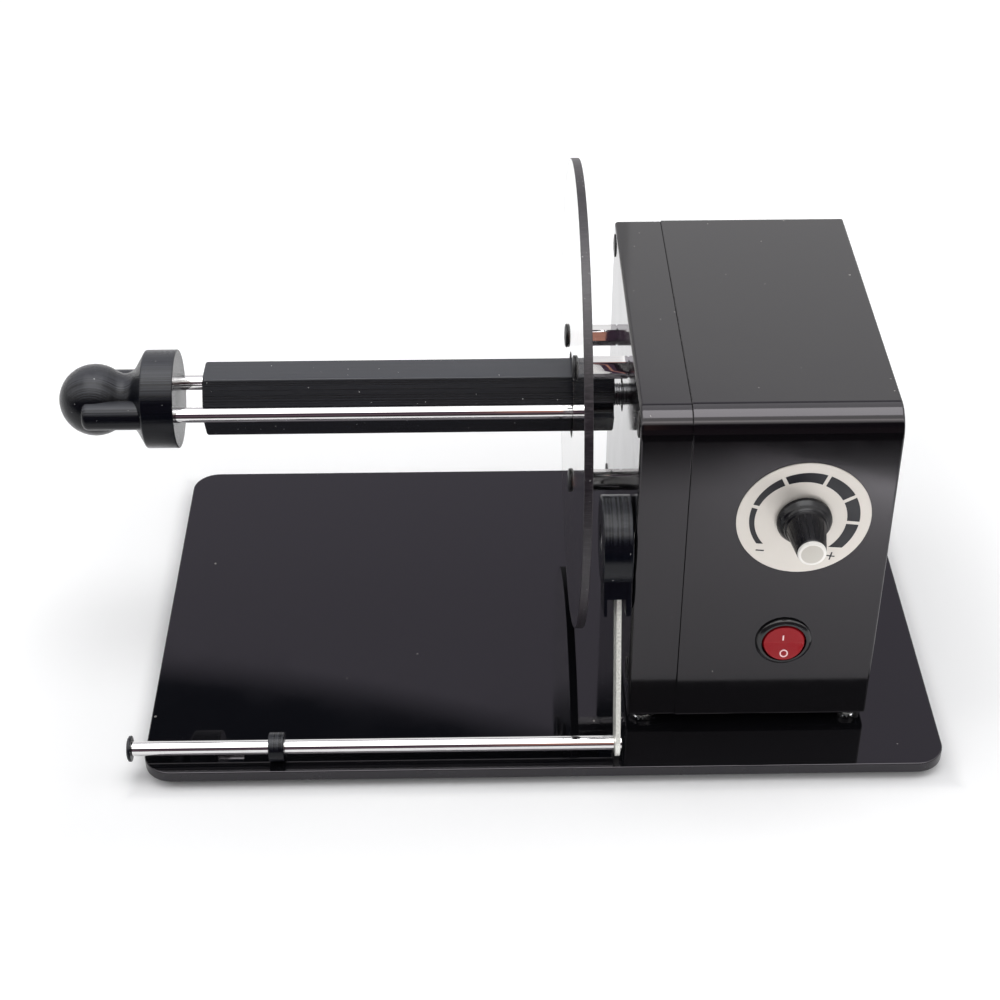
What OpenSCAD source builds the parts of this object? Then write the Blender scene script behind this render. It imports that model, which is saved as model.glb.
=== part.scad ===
// Desk label rewinder: a motor box turns a hexagonal core beside a clear guide disc.
// X runs right along the spindle, Y runs back, Z is up. The origin is the middle of the
// whole outline seen from above, on the surface that the feet stand on.

/* [Base plate] */
// Width of the plate
base_w = 330; // [310:1:380]
// Depth of the plate
base_d = 210; // [190:1:260]
// Thickness of the plate
base_t = 5; // [4:0.5:8]
// Corner radius of the plate
base_corner_r = 12; // [6:1:20]
// Diameter of a foot
foot_d = 12; // [8:1:16]
// Height of a foot
foot_h = 3; // [2:0.5:8]
// Distance of a foot's centre from both plate edges
foot_inset = 22; // [14:1:32]

/* [Case] */
// Width of the case along the spindle
case_w = 100; // [98:1:124]
// Depth of the case, front to back
case_d = 156.5; // [150:0.5:190]
// Height of the case
case_h = 151; // [148:1:190]
// Gap between the case and the plate's right edge
case_from_right = 30; // [20:1:50]
// Gap between the case and the plate's front edge
case_from_front = 26.5; // [20:0.5:32]
// Width of the left shell, from the left wall to the seam
left_shell_w = 20; // [16:1:26]
// Wall of both shells
case_wall = 2.5; // [2:0.1:3.5]
// Radius of the long edge between top and front
front_edge_r = 11; // [4:0.5:13]
// Radius of the other long edges
edge_r = 2.5; // [1:0.5:4]
// How far the left shell is set in from the right shell
shell_step = 0.4; // [0:0.1:0.8]
// Height of the spacers between case and plate
spacer_h = 3; // [2:0.5:8]
// Diameter of those spacers
spacer_d = 12; // [9:1:14]
// Inset of the spacers and base screws from the case's walls
spacer_inset = 7; // [6.5:0.5:12]
// Inset of the case screws from the case's top and sides
case_screw_inset = 8.5; // [8:0.5:12]
// Height of the lower case screws above the case's bottom
low_screw_rise = 20; // [18:1:30]

/* [Guide disc] */
// Diameter of the clear disc
disc_d = 197; // [150:1:205]
// Thickness of the disc
disc_t = 3.5; // [2:0.5:5]
// Hole in the disc for the core
disc_hole_d = 36; // [34:1:44]
// Gap between disc and case, the standoffs' length
disc_gap = 18; // [17:1:26]
// Width across the flats of a standoff
standoff_af = 8; // [6:0.5:10]
// Circle on which the three standoffs stand
standoff_pcd = 75; // [66:1:84]
// Turn of the standoffs from straight back
standoff_turn = 10; // [0:1:14]

/* [Spindle] */
// Spindle axis behind the plate's front edge
spindle_from_front = 112; // [106:1:130]
// Spindle axis above the plate
spindle_above_deck = 109; // [104:1:125]
// Width of the core across its corners
core_corner_d = 31.2; // [29:0.2:33]
// Length of the core
core_l = 171; // [120:0.5:190]
// Gap between core and case
core_wall_gap = 4; // [3:0.5:8]
// Turn of the core at rest, as in the photograph
core_turn = 3; // [0:1:59]
// Diameter of a fork rod
rod_d = 6.4; // [5:0.1:7]
// Distance between the two rod axes
rod_spacing = 27; // [26:0.5:28]
// Clearance of the rods in their grooves
rod_clear = 0.3; // [0.2:0.05:0.5]
// Gap between core and handle at rest
handle_gap = 11.5; // [9:0.5:16]

/* [Handle] */
// Diameter of the handle's flange
flange_d = 41.5; // [38:0.5:46]
// Thickness of the flange
flange_t = 13.3; // [10:0.1:18]
// Length of the cone between flange and neck
cone_l = 6; // [4:0.5:10]
// Diameter of the neck
neck_d = 21; // [16:0.5:24]
// Diameter of the ball
ball_d = 30.3; // [26:0.1:36]
// Ball centre to the flange's inner face
ball_reach = 35; // [32:0.5:44]
// Diameter of a rod boss
boss_d = 12; // [10:0.5:13]
// Rod boss's outer end to the flange's inner face
boss_reach = 38.5; // [36:0.5:48]

/* [Tension arm] */
// Arm pivot behind the plate's front edge
pivot_from_front = 40; // [38:1:48]
// Arm pivot above the plate
pivot_above_deck = 87; // [86.6:0.2:92]
// Pivot to bar
arm_l = 86.8; // [84:0.1:87]
// Lean of the arm at rest, forward of hanging straight down
arm_lean = 21.5; // [20:0.5:26]
// Diameter of the round hub
hub_d = 36; // [30:1:40]
// Thickness of the hub
hub_w = 12; // [9:0.5:13]
// Length of the hub's clamp below the pivot
clamp_l = 29; // [27:1:40]
// Width of the clamp and strip across the arm
strip_w = 15; // [12:0.5:18]
// Thickness of the steel strip
strip_t = 2; // [1.5:0.1:3]
// Diameter of the tension bar
bar_d = 6; // [5:0.5:8]
// Left end of the bar past the plate's left edge
bar_over = 4; // [0:0.5:12]
// Diameter of the bar's end cap
bar_cap_d = 10.7; // [9:0.1:11.4]
// Distance of the guide ring from the plate's left edge
ring_from_left = 52; // [20:1:130]
// Width of the guide ring
ring_w = 6.5; // [5:0.5:10]
// Outer diameter of the guide ring
ring_d = 12; // [9.8:0.1:12.2]
// Pivot shaft diameter
pivot_d = 8; // [6:0.5:10]

/* [Front controls] */
// Dial and knob centre from the case's left wall
dial_from_left = 65; // [50:1:72]
// Dial and knob centre above the plate
dial_above_deck = 106.7; // [95:0.1:120]
// Diameter of the dial plate
dial_d = 52.6; // [40:0.1:60]
// Thickness of the dial plate
dial_t = 0.5; // [0.3:0.1:1]
// Diameter of the knob's skirt
knob_skirt_d = 21.6; // [18:0.1:25]
// Diameter of the knob's grip at its foot
knob_grip_d = 15.4; // [14:0.1:17]
// Diameter of the knob at its tip
knob_tip_d = 11.2; // [10:0.1:13]
// Length of the knob
knob_l = 22; // [18:0.5:28]
// Switch centre from the case's left wall
switch_from_left = 62.3; // [45:0.1:72]
// Switch centre above the plate
switch_above_deck = 44.6; // [38:0.1:52]
// Diameter of the switch bezel
bezel_d = 23; // [22:0.5:26]
// Tilt of the rocker at rest
rocker_tilt = 7; // [5:0.5:8]

/* [Drive] */
// Outer diameter of the gearbox
gearbox_d = 37; // [37:0.5:42]
// Diameter of the motor can
can_d = 33; // [28:0.5:35]
// Length of the motor can
can_l = 30; // [24:0.5:32]
// Tooth size of the gears
gear_module = 0.4; // [0.36:0.01:0.4]
// Teeth of each small gear
pinion_teeth = 12; // [12:1:12]
// Teeth of each large gear
wheel_teeth = 36; // [36:1:36]
// Thickness of a gear
gear_t = 3.5; // [2.5:0.25:3.5]
// Distance of the motor shaft below the output shaft
motor_drop = 7; // [6.5:0.25:7]

/* [Hidden] */

$fn = 96;
running = 0.05;
seat = 0.1;
skin = 0.01;

deck_z = foot_h + base_t;
// How far the handle or the bar's cap stands past the plate's left edge
past_left = max(case_from_right + case_w + core_wall_gap + core_l + handle_gap + ball_reach
                + ball_d / 2 - base_w, bar_over + 2.6, 0);
whole_d = max(base_d, spindle_from_front + disc_d / 2);
base_x0 = past_left - (base_w + past_left) / 2;
base_y0 = -whole_d / 2;
base_x1 = base_x0 + base_w;
base_y1 = base_y0 + base_d;
case_x1 = base_x1 - case_from_right;
case_x0 = case_x1 - case_w;
case_y0 = base_y0 + case_from_front;
case_y1 = case_y0 + case_d;
case_z0 = deck_z + spacer_h;
case_z1 = case_z0 + case_h;
seam_x = case_x0 + left_shell_w;
wall_in_x = case_x0 + case_wall;
front_in_y = case_y0 + case_wall;
floor_in_z = case_z0 + case_wall;

spin_y = base_y0 + spindle_from_front;
spin_z = deck_z + spindle_above_deck;
disc_x = case_x0 - disc_gap - disc_t;
core_x1 = case_x0 - core_wall_gap;
core_x0 = core_x1 - core_l;
handle_x = core_x0 - handle_gap;
rod_r = rod_spacing / 2;
rod_end_x = disc_x + disc_t + 1.5;

thread_d = 9.5;
thread_pitch = 1;
journal_d = 8;
shaft_hold = 34;
bearing_od = 22;
bearing_w = 7;
race_in_d = 12;
race_out_d = 18.6;
ball_count = 7;
bearing_x = wall_in_x;
bearing_boss_d = 28;
journal_x1 = bearing_x + bearing_w + 9.5;
coupling_d = 18;
coupling_x = bearing_x + bearing_w + 1.5;
coupling_l = 18;
plate_x = coupling_x + coupling_l + 1.5;
plate_t = 2;
plate_side = 56;
pillar_half = 22;
pillar_d = 7;
pillar_boss_h = 3;
out_shaft_d = 6;

cd = gear_module * (pinion_teeth + wheel_teeth) / 2;
motor_y = 0;
motor_z = -motor_drop;
near_y = sqrt(cd * cd - motor_drop * motor_drop / 4);
near_z = -motor_drop / 2;
near_dir = atan2(near_z - motor_z, near_y - motor_y);
far_y = motor_y + cd * cos(near_dir - 60);
far_z = motor_z + cd * sin(near_dir - 60);
layer_gap = 0.5;
layer3_x = plate_x + plate_t + 3;
layer2_x = layer3_x + gear_t + layer_gap;
layer1_x = layer2_x + gear_t + layer_gap;
box_x1 = layer1_x + gear_t + 1;
box_back_t = 1.5;
can_x0 = box_x1 + box_back_t;
can_x1 = can_x0 + can_l;
pin_d = 2;
motor_shaft_d = 2;

pivot_y = base_y0 + pivot_from_front;
pivot_z = deck_z + pivot_above_deck;
hub_x1 = case_x0 - 0.5;
hub_x0 = hub_x1 - hub_w;
strip_x0 = hub_x0 + hub_w / 2 - strip_t / 2 + 1;
bar_x0 = base_x0 - bar_over;
bush_od = 12;
bush_flange_d = 16;
bush_l = 8;
flag_x = wall_in_x + bush_l + 1;
flag_hub_w = 4;
flag_vane_t = 1.4;
flag_r = 26;
sensor_gap = 5;
sensor_post_t = 3.5;
sensor_x = flag_x + flag_hub_w / 2;
sensor_base_r = 29;
shelf_t = 3;

dial_x = case_x0 + dial_from_left;
dial_z = deck_z + dial_above_deck;
switch_x = case_x0 + switch_from_left;
switch_z = deck_z + switch_above_deck;
pot_bush_d = 7;
pot_shaft_d = 6;
pot_body_d = 16.5;
pot_body_l = 8;
bezel_t = 2;
bezel_hole_r = 9.1;
rocker_r = 8.9;
rocker_back = 1.4;
switch_cut_d = 20;

board_w = 66;
board_l = 74;
board_t = 1.6;
board_x0 = case_x1 - case_wall - board_w - 5;
board_y0 = case_y1 - case_wall - board_l - 14;
board_z = floor_in_z + 8;
board_hole_inset = 4;

socket_x = case_x0 + 85;
socket_z = deck_z + 42;
socket_thread_d = 11;

// Centre of each double gear and of the motor, from the spindle axis
near_at = [near_y, near_z];
far_at = [far_y, far_z];
motor_at = [motor_y, motor_z];

// Placing and primitive helpers
module on_axis(y, z) translate([0, y, z]) children();
module on_spindle() on_axis(spin_y, spin_z) children();
module on_pivot() on_axis(pivot_y, pivot_z) children();
module along_x(x0, l, d) translate([x0, 0, 0]) rotate([0, 90, 0]) cylinder(d = d, h = l);
module along_y(y0, l, d) translate([0, y0, 0]) rotate([-90, 0, 0]) cylinder(d = d, h = l);
module cone_x(x0, l, da, db) translate([x0, 0, 0]) rotate([0, 90, 0]) cylinder(d1 = da, d2 = db, h = l);
module yz_slab(x0, l) translate([x0, 0, 0]) rotate([90, 0, 90]) linear_extrude(l) children();
module hex_x(x0, l, af) yz_slab(x0, l) circle(d = af / cos(30), $fn = 6);
module box_at(a, b) translate(a) cube(b - a);

module rounded(w, h, radii) {
    spots = [[0, 0, 1, 1], [w, 0, -1, 1], [w, h, -1, -1], [0, h, 1, -1]];
    difference() {
        square([w, h]);
        for (i = [0:3]) {
            r = radii[i];
            if (r > 0)
                translate([spots[i][0] + min(spots[i][2], 0) * r, spots[i][1] + min(spots[i][3], 0) * r])
                    square(r);
        }
    }
    for (i = [0:3]) {
        r = radii[i];
        if (r > 0)
            translate([spots[i][0] + spots[i][2] * r, spots[i][1] + spots[i][3] * r]) circle(r);
    }
}

module case_profile(inset) {
    r = [edge_r, edge_r, edge_r, front_edge_r];
    translate([case_y0 + inset, case_z0 + inset])
        rounded(case_d - 2 * inset, case_h - 2 * inset, [for (v = r) max(v - inset, 0.3)]);
}

// Screw corners on the case: four along X that join the shells, four upright into the plate
case_screw_at = [for (y = [case_y0 + case_screw_inset, case_y1 - case_screw_inset])
                 for (z = [case_z0 + low_screw_rise, case_z1 - case_screw_inset]) [y, z]];
base_screw_at = [for (x = [case_x0 + spacer_inset, case_x1 - spacer_inset])
                 for (y = [case_y0 + spacer_inset, case_y1 - spacer_inset]) [x, y]];
standoff_at = [for (k = [0:2]) [spin_y + standoff_pcd / 2 * cos(standoff_turn + 120 * k),
                                spin_z + standoff_pcd / 2 * sin(standoff_turn + 120 * k)]];
pillar_at = [for (sy = [-1, 1]) for (sz = [-1, 1])
             [spin_y + sy * pillar_half, spin_z - motor_drop / 2 + sz * pillar_half]];
case_post_d = 9;
case_screw_d = 4;
case_screw_l = 34;
base_screw_d = 4;
base_post_h = 9;
m4_hole = 4.3;

// Base
module base_plate() color("#141416") difference() {
    translate([base_x0, base_y0, foot_h])
        linear_extrude(base_t) rounded(base_w, base_d, [for (i = [0:3]) base_corner_r]);
    for (p = base_screw_at) translate([p[0], p[1], foot_h - 1]) {
        cylinder(d = m4_hole, h = base_t + 2);
        cylinder(d1 = base_screw_d * 2 + 2.3, d2 = m4_hole, h = 1 + 2.2);
    }
}

module rubber_feet() color("#1c1c1c")
    for (x = [base_x0 + foot_inset, base_x1 - foot_inset])
        for (y = [base_y0 + foot_inset, base_y1 - foot_inset]) translate([x, y, 0]) {
            cylinder(d1 = foot_d - 2, d2 = foot_d, h = 1);
            translate([0, 0, 1]) cylinder(d = foot_d, h = foot_h - 1);
        }

module case_spacers() color("#dfe6e8", 0.5) for (p = base_screw_at)
    translate([p[0], p[1], deck_z]) difference() {
        cylinder(d = spacer_d, h = spacer_h);
        translate([0, 0, -1]) cylinder(d = m4_hole, h = spacer_h + 2);
    }

module base_screws() color("#2a2a2c") for (p = base_screw_at)
    translate([p[0], p[1], foot_h]) difference() {
        union() {
            cylinder(d1 = base_screw_d * 2, d2 = base_screw_d, h = 2);
            cylinder(d = base_screw_d, h = base_t + spacer_h + case_wall + base_post_h - 2);
        }
        translate([0, 0, -skin]) cylinder(d = 2.6, h = 1.2, $fn = 6);
    }

// Case
module post_x(p, x0, x1, d) on_axis(p[0], p[1]) along_x(x0, x1 - x0, d);

module case_left_shell() color("#1b1b1e") difference() {
    union() {
        difference() {
            yz_slab(case_x0, left_shell_w) case_profile(shell_step);
            yz_slab(wall_in_x, left_shell_w) case_profile(case_wall);
        }
        difference() {
            union() {
                yz_slab(seam_x - 4, 4) case_profile(case_wall - 0.5);
                yz_slab(seam_x - skin, 3) case_profile(case_wall + 0.2);
            }
            yz_slab(seam_x - 5, 9) case_profile(case_wall + 1.5);
            for (p = case_screw_at) post_x(p, seam_x, seam_x + 5, case_post_d + 1);
        }
        for (p = case_screw_at) post_x(p, case_x0 + 1, seam_x, case_post_d);
        for (p = base_screw_at) if (p[0] < seam_x) translate([p[0], p[1], case_z0 + 1])
            cylinder(d = case_post_d, h = case_wall + base_post_h - 1);
        on_spindle() along_x(case_x0 + 1, case_wall + bearing_w - 1, bearing_boss_d);
        for (p = standoff_at) post_x(p, case_x0 + 1, wall_in_x + 2, 12);
        for (p = pillar_at) post_x(p, case_x0 + 1, wall_in_x + pillar_boss_h, 10);
        on_pivot() along_x(case_x0 + 1, case_wall + bush_l - 2.5, bush_od + 5);
        box_at([case_x0 + 1, pivot_y + sensor_base_r, pivot_z - 9],
               [sensor_x + 9, pivot_y + sensor_base_r + shelf_t, pivot_z + 9]);
    }
    for (p = case_screw_at) post_x(p, case_x0 - 1, seam_x + 1, m4_hole);
    for (p = base_screw_at) if (p[0] < seam_x) translate([p[0], p[1], case_z0 - 1])
        cylinder(d = base_screw_d + 0.2, h = case_wall + base_post_h + 0.5);
    on_spindle() {
        along_x(bearing_x, bearing_w + 5, bearing_od + 2 * running);
        along_x(case_x0 - 1, 5, race_in_d + 3);
    }
    for (p = standoff_at) post_x(p, case_x0 - 1, wall_in_x + 5, m4_hole);
    for (p = pillar_at) post_x(p, wall_in_x - 1, wall_in_x + 5, 3.2);
    on_pivot() along_x(case_x0 - 1, bush_l + 6, bush_od + seat);
    on_pivot() along_x(case_x0 - 1, 2, bush_flange_d + seat);
    for (s = [-1, 1]) translate([sensor_x, 0, pivot_z + s * 6])
        along_y(pivot_y + sensor_base_r - 1, shelf_t + 2, 2.4);
}

module case_right_shell() color("#1b1b1e") difference() {
    union() {
        difference() {
            yz_slab(seam_x, case_x1 - seam_x) case_profile(0);
            yz_slab(seam_x - 1, case_x1 - seam_x + 1 - case_wall) case_profile(case_wall);
        }
        for (p = case_screw_at) {
            post_x(p, seam_x, seam_x + 20, case_post_d);
            out_y = p[0] < (case_y0 + case_y1) / 2 ? case_y0 + 1 : case_y1 - 1;
            box_at([seam_x + 3.5, min(out_y, p[0]), p[1] - 1.2],
                   [seam_x + 20, max(out_y, p[0]), p[1] + 1.2]);
        }
        for (p = base_screw_at) if (p[0] > seam_x) translate([p[0], p[1], case_z0 + 1])
            cylinder(d = case_post_d, h = case_wall + base_post_h - 1);
        for (p = board_hole_at)
            translate([p[0], p[1], case_z0 + 1]) cylinder(d = 7, h = board_z - case_z0 - 1);
    }
    for (p = case_screw_at) post_x(p, seam_x - 1, seam_x + 18, case_screw_d + 0.1);
    for (p = base_screw_at) if (p[0] > seam_x) translate([p[0], p[1], case_z0 - 1])
        cylinder(d = base_screw_d + 0.2, h = case_wall + base_post_h + 0.5);
    for (p = board_hole_at) translate([p[0], p[1], floor_in_z + 1]) cylinder(d = 2.6, h = board_z);
    translate([dial_x, 0, dial_z]) along_y(case_y0 - 1, case_wall + 2, pot_bush_d + 2 * seat);
    translate([switch_x, 0, switch_z]) along_y(case_y0 - 1, case_wall + 2, switch_cut_d);
    translate([socket_x, 0, socket_z])
        along_y(case_y1 - case_wall - 1, case_wall + 2, socket_thread_d + 2 * seat);
}

module pan_screw_x(p, x0, head_d, head_t, d, l) on_axis(p[0], p[1]) {
    difference() {
        union() {
            along_x(x0 - head_t, head_t * 0.45 + skin, head_d * 0.93);
            along_x(x0 - head_t * 0.6, head_t * 0.6, head_d);
            along_x(x0 - skin, l, d);
        }
        for (a = [0, 90]) rotate([a, 0, 0])
            box_at([x0 - head_t - 1, -head_d * 0.24, -0.45], [x0 - head_t * 0.45, head_d * 0.24, 0.45]);
    }
}

module case_screws() color("#151515")
    for (p = case_screw_at) pan_screw_x(p, case_x0, 10, 0.6, case_screw_d, case_screw_l);

// Guide disc
module guide_disc() color("#dfe9ea", 0.35) difference() {
    on_spindle() along_x(disc_x, disc_t, disc_d);
    on_spindle() along_x(disc_x - 1, disc_t + 2, disc_hole_d);
    for (p = standoff_at) post_x(p, disc_x - 1, disc_x + disc_t + 1, m4_hole);
}

module disc_standoffs() color("#d6d8da") for (p = standoff_at) on_axis(p[0], p[1]) difference() {
    intersection() {
        hex_x(disc_x + disc_t, disc_gap, standoff_af);
        union() {
            cone_x(disc_x + disc_t, 0.6, standoff_af, standoff_af * 1.16);
            along_x(disc_x + disc_t + 0.6, disc_gap - 1.2, standoff_af * 1.16);
            cone_x(case_x0 - 0.6, 0.6, standoff_af * 1.16, standoff_af);
        }
    }
    along_x(disc_x + disc_t - 1, disc_gap + 2, case_screw_d + 0.1);
}

module disc_screws() color("#181818")
    for (p = standoff_at) pan_screw_x(p, disc_x, 10.2, 1.3, case_screw_d, disc_t + 7);

// Spindle
module core_hex() rotate(-core_turn) circle(d = core_corner_d, $fn = 6);
module at_rods() for (s = [0, 180]) rotate([s - core_turn, 0, 0]) translate([0, rod_r, 0]) children();

module winding_core() color("#17181b") on_spindle() difference() {
    intersection() {
        yz_slab(core_x0, core_l) core_hex();
        union() {
            cone_x(core_x0, 1, core_corner_d - 1.6, core_corner_d + 0.4);
            along_x(core_x0 + 1, core_l - 2, core_corner_d + 0.4);
            cone_x(core_x1 - 1, 1, core_corner_d + 0.4, core_corner_d - 1.6);
        }
    }
    at_rods() along_x(core_x0 - 1, core_l + 2, rod_d + 2 * rod_clear);
    along_x(core_x1 - shaft_hold, shaft_hold + 1, thread_d + 2 * running);
}

module spindle_shaft() color("#24262a") on_spindle() {
    along_x(core_x1 - shaft_hold + 1, shaft_hold, thread_d);
    translate([core_x1, 0, 0]) rotate([0, 90, 0]) rotate_extrude() {
        polygon([[0, 0], [thread_d / 2, 0],
                 for (k = [0:core_wall_gap / thread_pitch])
                     for (q = [[0.15, 0], [0.5, -0.5], [0.85, 0]])
                         [thread_d / 2 + q[1], (k + q[0]) * thread_pitch],
                 [thread_d / 2, core_wall_gap + thread_pitch], [0, core_wall_gap + thread_pitch]]);
    }
    along_x(core_x1, journal_x1 - core_x1, journal_d);
}

module bearing_outer_ring() color("#c9ccd0") on_spindle() difference() {
    along_x(bearing_x, bearing_w, bearing_od);
    along_x(bearing_x - 1, bearing_w + 2, race_out_d);
}

module bearing_balls() color("#b5b8bc") on_spindle() {
    ball_r = (race_out_d - race_in_d) / 4 - 0.1;
    ring_r = (race_out_d + race_in_d) / 4;
    x = bearing_x + bearing_w / 2;
    for (k = [0:ball_count - 1])
        rotate([360 / ball_count * k, 0, 0]) translate([x, ring_r, 0]) sphere(ball_r);
    difference() {
        along_x(x - 0.7, 1.4, 2 * ring_r + 1.4);
        along_x(x - 2, 4, 2 * ring_r - 1.4);
    }
}

module bearing_inner_ring() color("#c9ccd0") on_spindle() difference() {
    along_x(bearing_x, bearing_w, race_in_d);
    along_x(bearing_x - 1, bearing_w + 2, journal_d + running);
}

module shaft_coupling() color("#b9bdc2") on_spindle() difference() {
    along_x(coupling_x, coupling_l, coupling_d);
    along_x(coupling_x - 1, journal_x1 - coupling_x + 1.5, journal_d + 2 * running);
    along_x(coupling_x, coupling_l + 1, out_shaft_d + 2 * running);
    for (x = [coupling_x + 4, coupling_x + coupling_l - 4])
        translate([x, 0, 0]) cylinder(d = 4 + seat, h = coupling_d);
}

module coupling_screws() color("#3a3c40") on_spindle() {
    translate([coupling_x + 4, 0, journal_d / 2 + 0.1]) grub_screw(4.5);
    translate([coupling_x + coupling_l - 4, 0, out_shaft_d / 2 + 0.1]) grub_screw(5.5);
}

module grub_screw(l) difference() {
    cylinder(d = 4, h = l);
    translate([0, 0, l - 1.5]) cylinder(d = 2.2, h = 2, $fn = 6);
}

// Pull-out fork
module rod_boss() {
    x0 = handle_x - boss_reach;
    r = boss_d / 2;
    translate([x0, 0, 0]) rotate([0, 90, 0]) rotate_extrude()
        polygon([[0, 0], [r - 2.5, 0], [r - 1.54, 0.19], [r - 0.73, 0.73], [r - 0.19, 1.54], [r, 2.5],
                 [r, boss_reach - flange_t + 1], [0, boss_reach - flange_t + 1]]);
}

module fork_handle() color("#16171a") on_spindle() difference() {
    union() {
        along_x(handle_x - flange_t, flange_t, flange_d);
        cone_x(handle_x - flange_t - cone_l, cone_l, neck_d, flange_d);
        along_x(handle_x - ball_reach + 4, ball_reach - flange_t - cone_l - 3, neck_d);
        translate([handle_x - ball_reach, 0, 0]) rotate([0, 90, 0]) sphere(d = ball_d);
        at_rods() rod_boss();
    }
    at_rods() along_x(handle_x - boss_reach + 3, boss_reach, rod_d + seat);
}

module fork_rods() color("#dfe1e4") on_spindle() at_rods() {
    along_x(handle_x - boss_reach + 3.5, rod_end_x - handle_x + boss_reach - 4.1, rod_d);
    cone_x(rod_end_x - 0.6, 0.6, rod_d, rod_d - 1.2);
}

// Gear motor
function tooth_points(teeth) = let (pitch = 360 / teeth, r = gear_module * teeth / 2,
                                    tip = r + 0.8 * gear_module, root = r - 1.2 * gear_module)
    [for (i = [0:teeth - 1]) for (q = [[root, -0.27], [tip, -0.1], [tip, 0.1], [root, 0.27]])
        [q[0] * cos((i + q[1]) * pitch), q[0] * sin((i + q[1]) * pitch)]];

// Turn of a gear that meshes with one already turned, seen along the line between them
function mesh_turn(from, to, turn, from_teeth, to_teeth) =
    let (dir = atan2(to[1] - from[1], to[0] - from[0]),
         share = (dir - turn) * from_teeth / 360)
    dir + 180 - (0.5 - share) * 360 / to_teeth;

near_turn = mesh_turn([0, 0], near_at, 0, wheel_teeth, pinion_teeth);
far_turn = mesh_turn(near_at, far_at, near_turn, wheel_teeth, pinion_teeth);
pinion_turn = mesh_turn(far_at, motor_at, far_turn, wheel_teeth, pinion_teeth);

module gear(at, turn, teeth, x0) on_axis(at[0], at[1]) rotate([turn, 0, 0])
    yz_slab(x0, gear_t) polygon(tooth_points(teeth));

module gearbox_face_plate() color("#aeb2b6") on_spindle() difference() {
    union() {
        on_axis(motor_y, motor_z) along_x(plate_x + plate_t, 1.6, gearbox_d);
        along_x(plate_x, plate_t + 2.6, 12);
    }
    along_x(plate_x - 1, plate_t + 5, out_shaft_d + 2 * running);
    for (p = [near_at, far_at]) on_axis(p[0], p[1]) along_x(plate_x, 10, pin_d + seat);
    for (p = face_screw_at) on_axis(p[0], p[1]) along_x(plate_x, 10, 3.1);
}

face_screw_at = [for (a = [150, 210, 270]) [motor_y + 14.5 * cos(a), motor_z + 14.5 * sin(a)]];

module gearbox_ring() color("#b7babd") on_spindle() on_axis(motor_y, motor_z) difference() {
    along_x(plate_x + plate_t + 1.6, can_x0 - plate_x - plate_t - 1.6, gearbox_d);
    along_x(plate_x, box_x1 - plate_x, gearbox_d - 1.6);
    along_x(plate_x, can_x0, 8);
    for (p = [near_at, far_at])
        on_axis(p[0] - motor_y, p[1] - motor_z) along_x(plate_x, can_x0, pin_d + seat);
}

module output_shaft() color("#c5c8cc") on_spindle() difference() {
    along_x(journal_x1 + 0.8, layer3_x + gear_t - journal_x1 - 0.8, out_shaft_d);
    box_at([journal_x1, -out_shaft_d, out_shaft_d / 2 - 0.5], [plate_x - 0.5, out_shaft_d, out_shaft_d]);
}

module output_gear() color("#c2a350") on_spindle() difference() {
    gear([0, 0], 0, wheel_teeth, layer3_x);
    along_x(layer3_x - 1, gear_t + 2, out_shaft_d + 2 * skin);
}

module double_gear(at, turn, x0) on_spindle() difference() {
    union() {
        gear(at, turn, pinion_teeth, x0);
        gear(at, turn, wheel_teeth, x0 + gear_t + layer_gap);
        on_axis(at[0], at[1])
            along_x(x0 + gear_t - skin, layer_gap + 2 * skin, gear_module * (pinion_teeth - 3));
    }
    on_axis(at[0], at[1]) along_x(x0 - 1, 3 * gear_t, pin_d + 2 * running);
}

module double_gear_near() color("#c2a350") double_gear(near_at, near_turn, layer3_x);
module double_gear_far() color("#c2a350") double_gear(far_at, far_turn, layer2_x);

module gear_pins() color("#cfd2d5") on_spindle() for (p = [near_at, far_at])
    on_axis(p[0], p[1]) along_x(plate_x + plate_t + 0.2, can_x0 - plate_x - plate_t - 0.4, pin_d);

module motor_pinion() color("#c2a350") on_spindle() difference() {
    gear(motor_at, pinion_turn, pinion_teeth, layer1_x);
    on_axis(motor_y, motor_z) along_x(layer1_x - 1, gear_t + 2, motor_shaft_d + 2 * skin);
}

module motor_rotor() color("#8d6a45") on_spindle() on_axis(motor_y, motor_z) {
    along_x(layer1_x - 0.3, can_x1 + 2 - layer1_x, motor_shaft_d);
    difference() {
        along_x(can_x0 + 5, can_l - 13, can_d - 12);
        for (k = [0:4]) rotate([72 * k, 0, 0])
            box_at([can_x0 + 4, -1, can_d / 2 - 9.5], [can_x1, 1, can_d]);
    }
    along_x(can_x1 - 8 - skin, 6, 7);
}

module motor_magnets() color("#3c3c40") on_spindle() on_axis(motor_y, motor_z) difference() {
    along_x(can_x0 + 4, can_l - 10, can_d - 2.2);
    along_x(can_x0 + 3, can_l, can_d - 9);
    for (s = [-1, 1]) box_at([can_x0 + 3, s * 12 - 8.5, -4], [can_x1, s * 12 + 8.5, 4]);
}

module motor_can() color("#9fa3a7") on_spindle() on_axis(motor_y, motor_z) difference() {
    along_x(can_x0, can_l, can_d);
    along_x(can_x0 + 1, can_l, can_d - 2);
    along_x(can_x0 - 1, 5, 6);
}

module motor_end_cap() color("#202226") on_spindle() on_axis(motor_y, motor_z) difference() {
    union() {
        along_x(can_x1, 2.5, can_d);
        along_x(can_x1 - 1.5, 1.6, can_d - 2 - 2 * seat);
        for (s = [-1, 1]) box_at([can_x1 + 2, s * 9 - 0.4, -2.4], [can_x1 + 6.5, s * 9 + 0.4, 2.4]);
    }
    along_x(can_x1 - 3, 7, motor_shaft_d + 2 * running);
}

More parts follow.
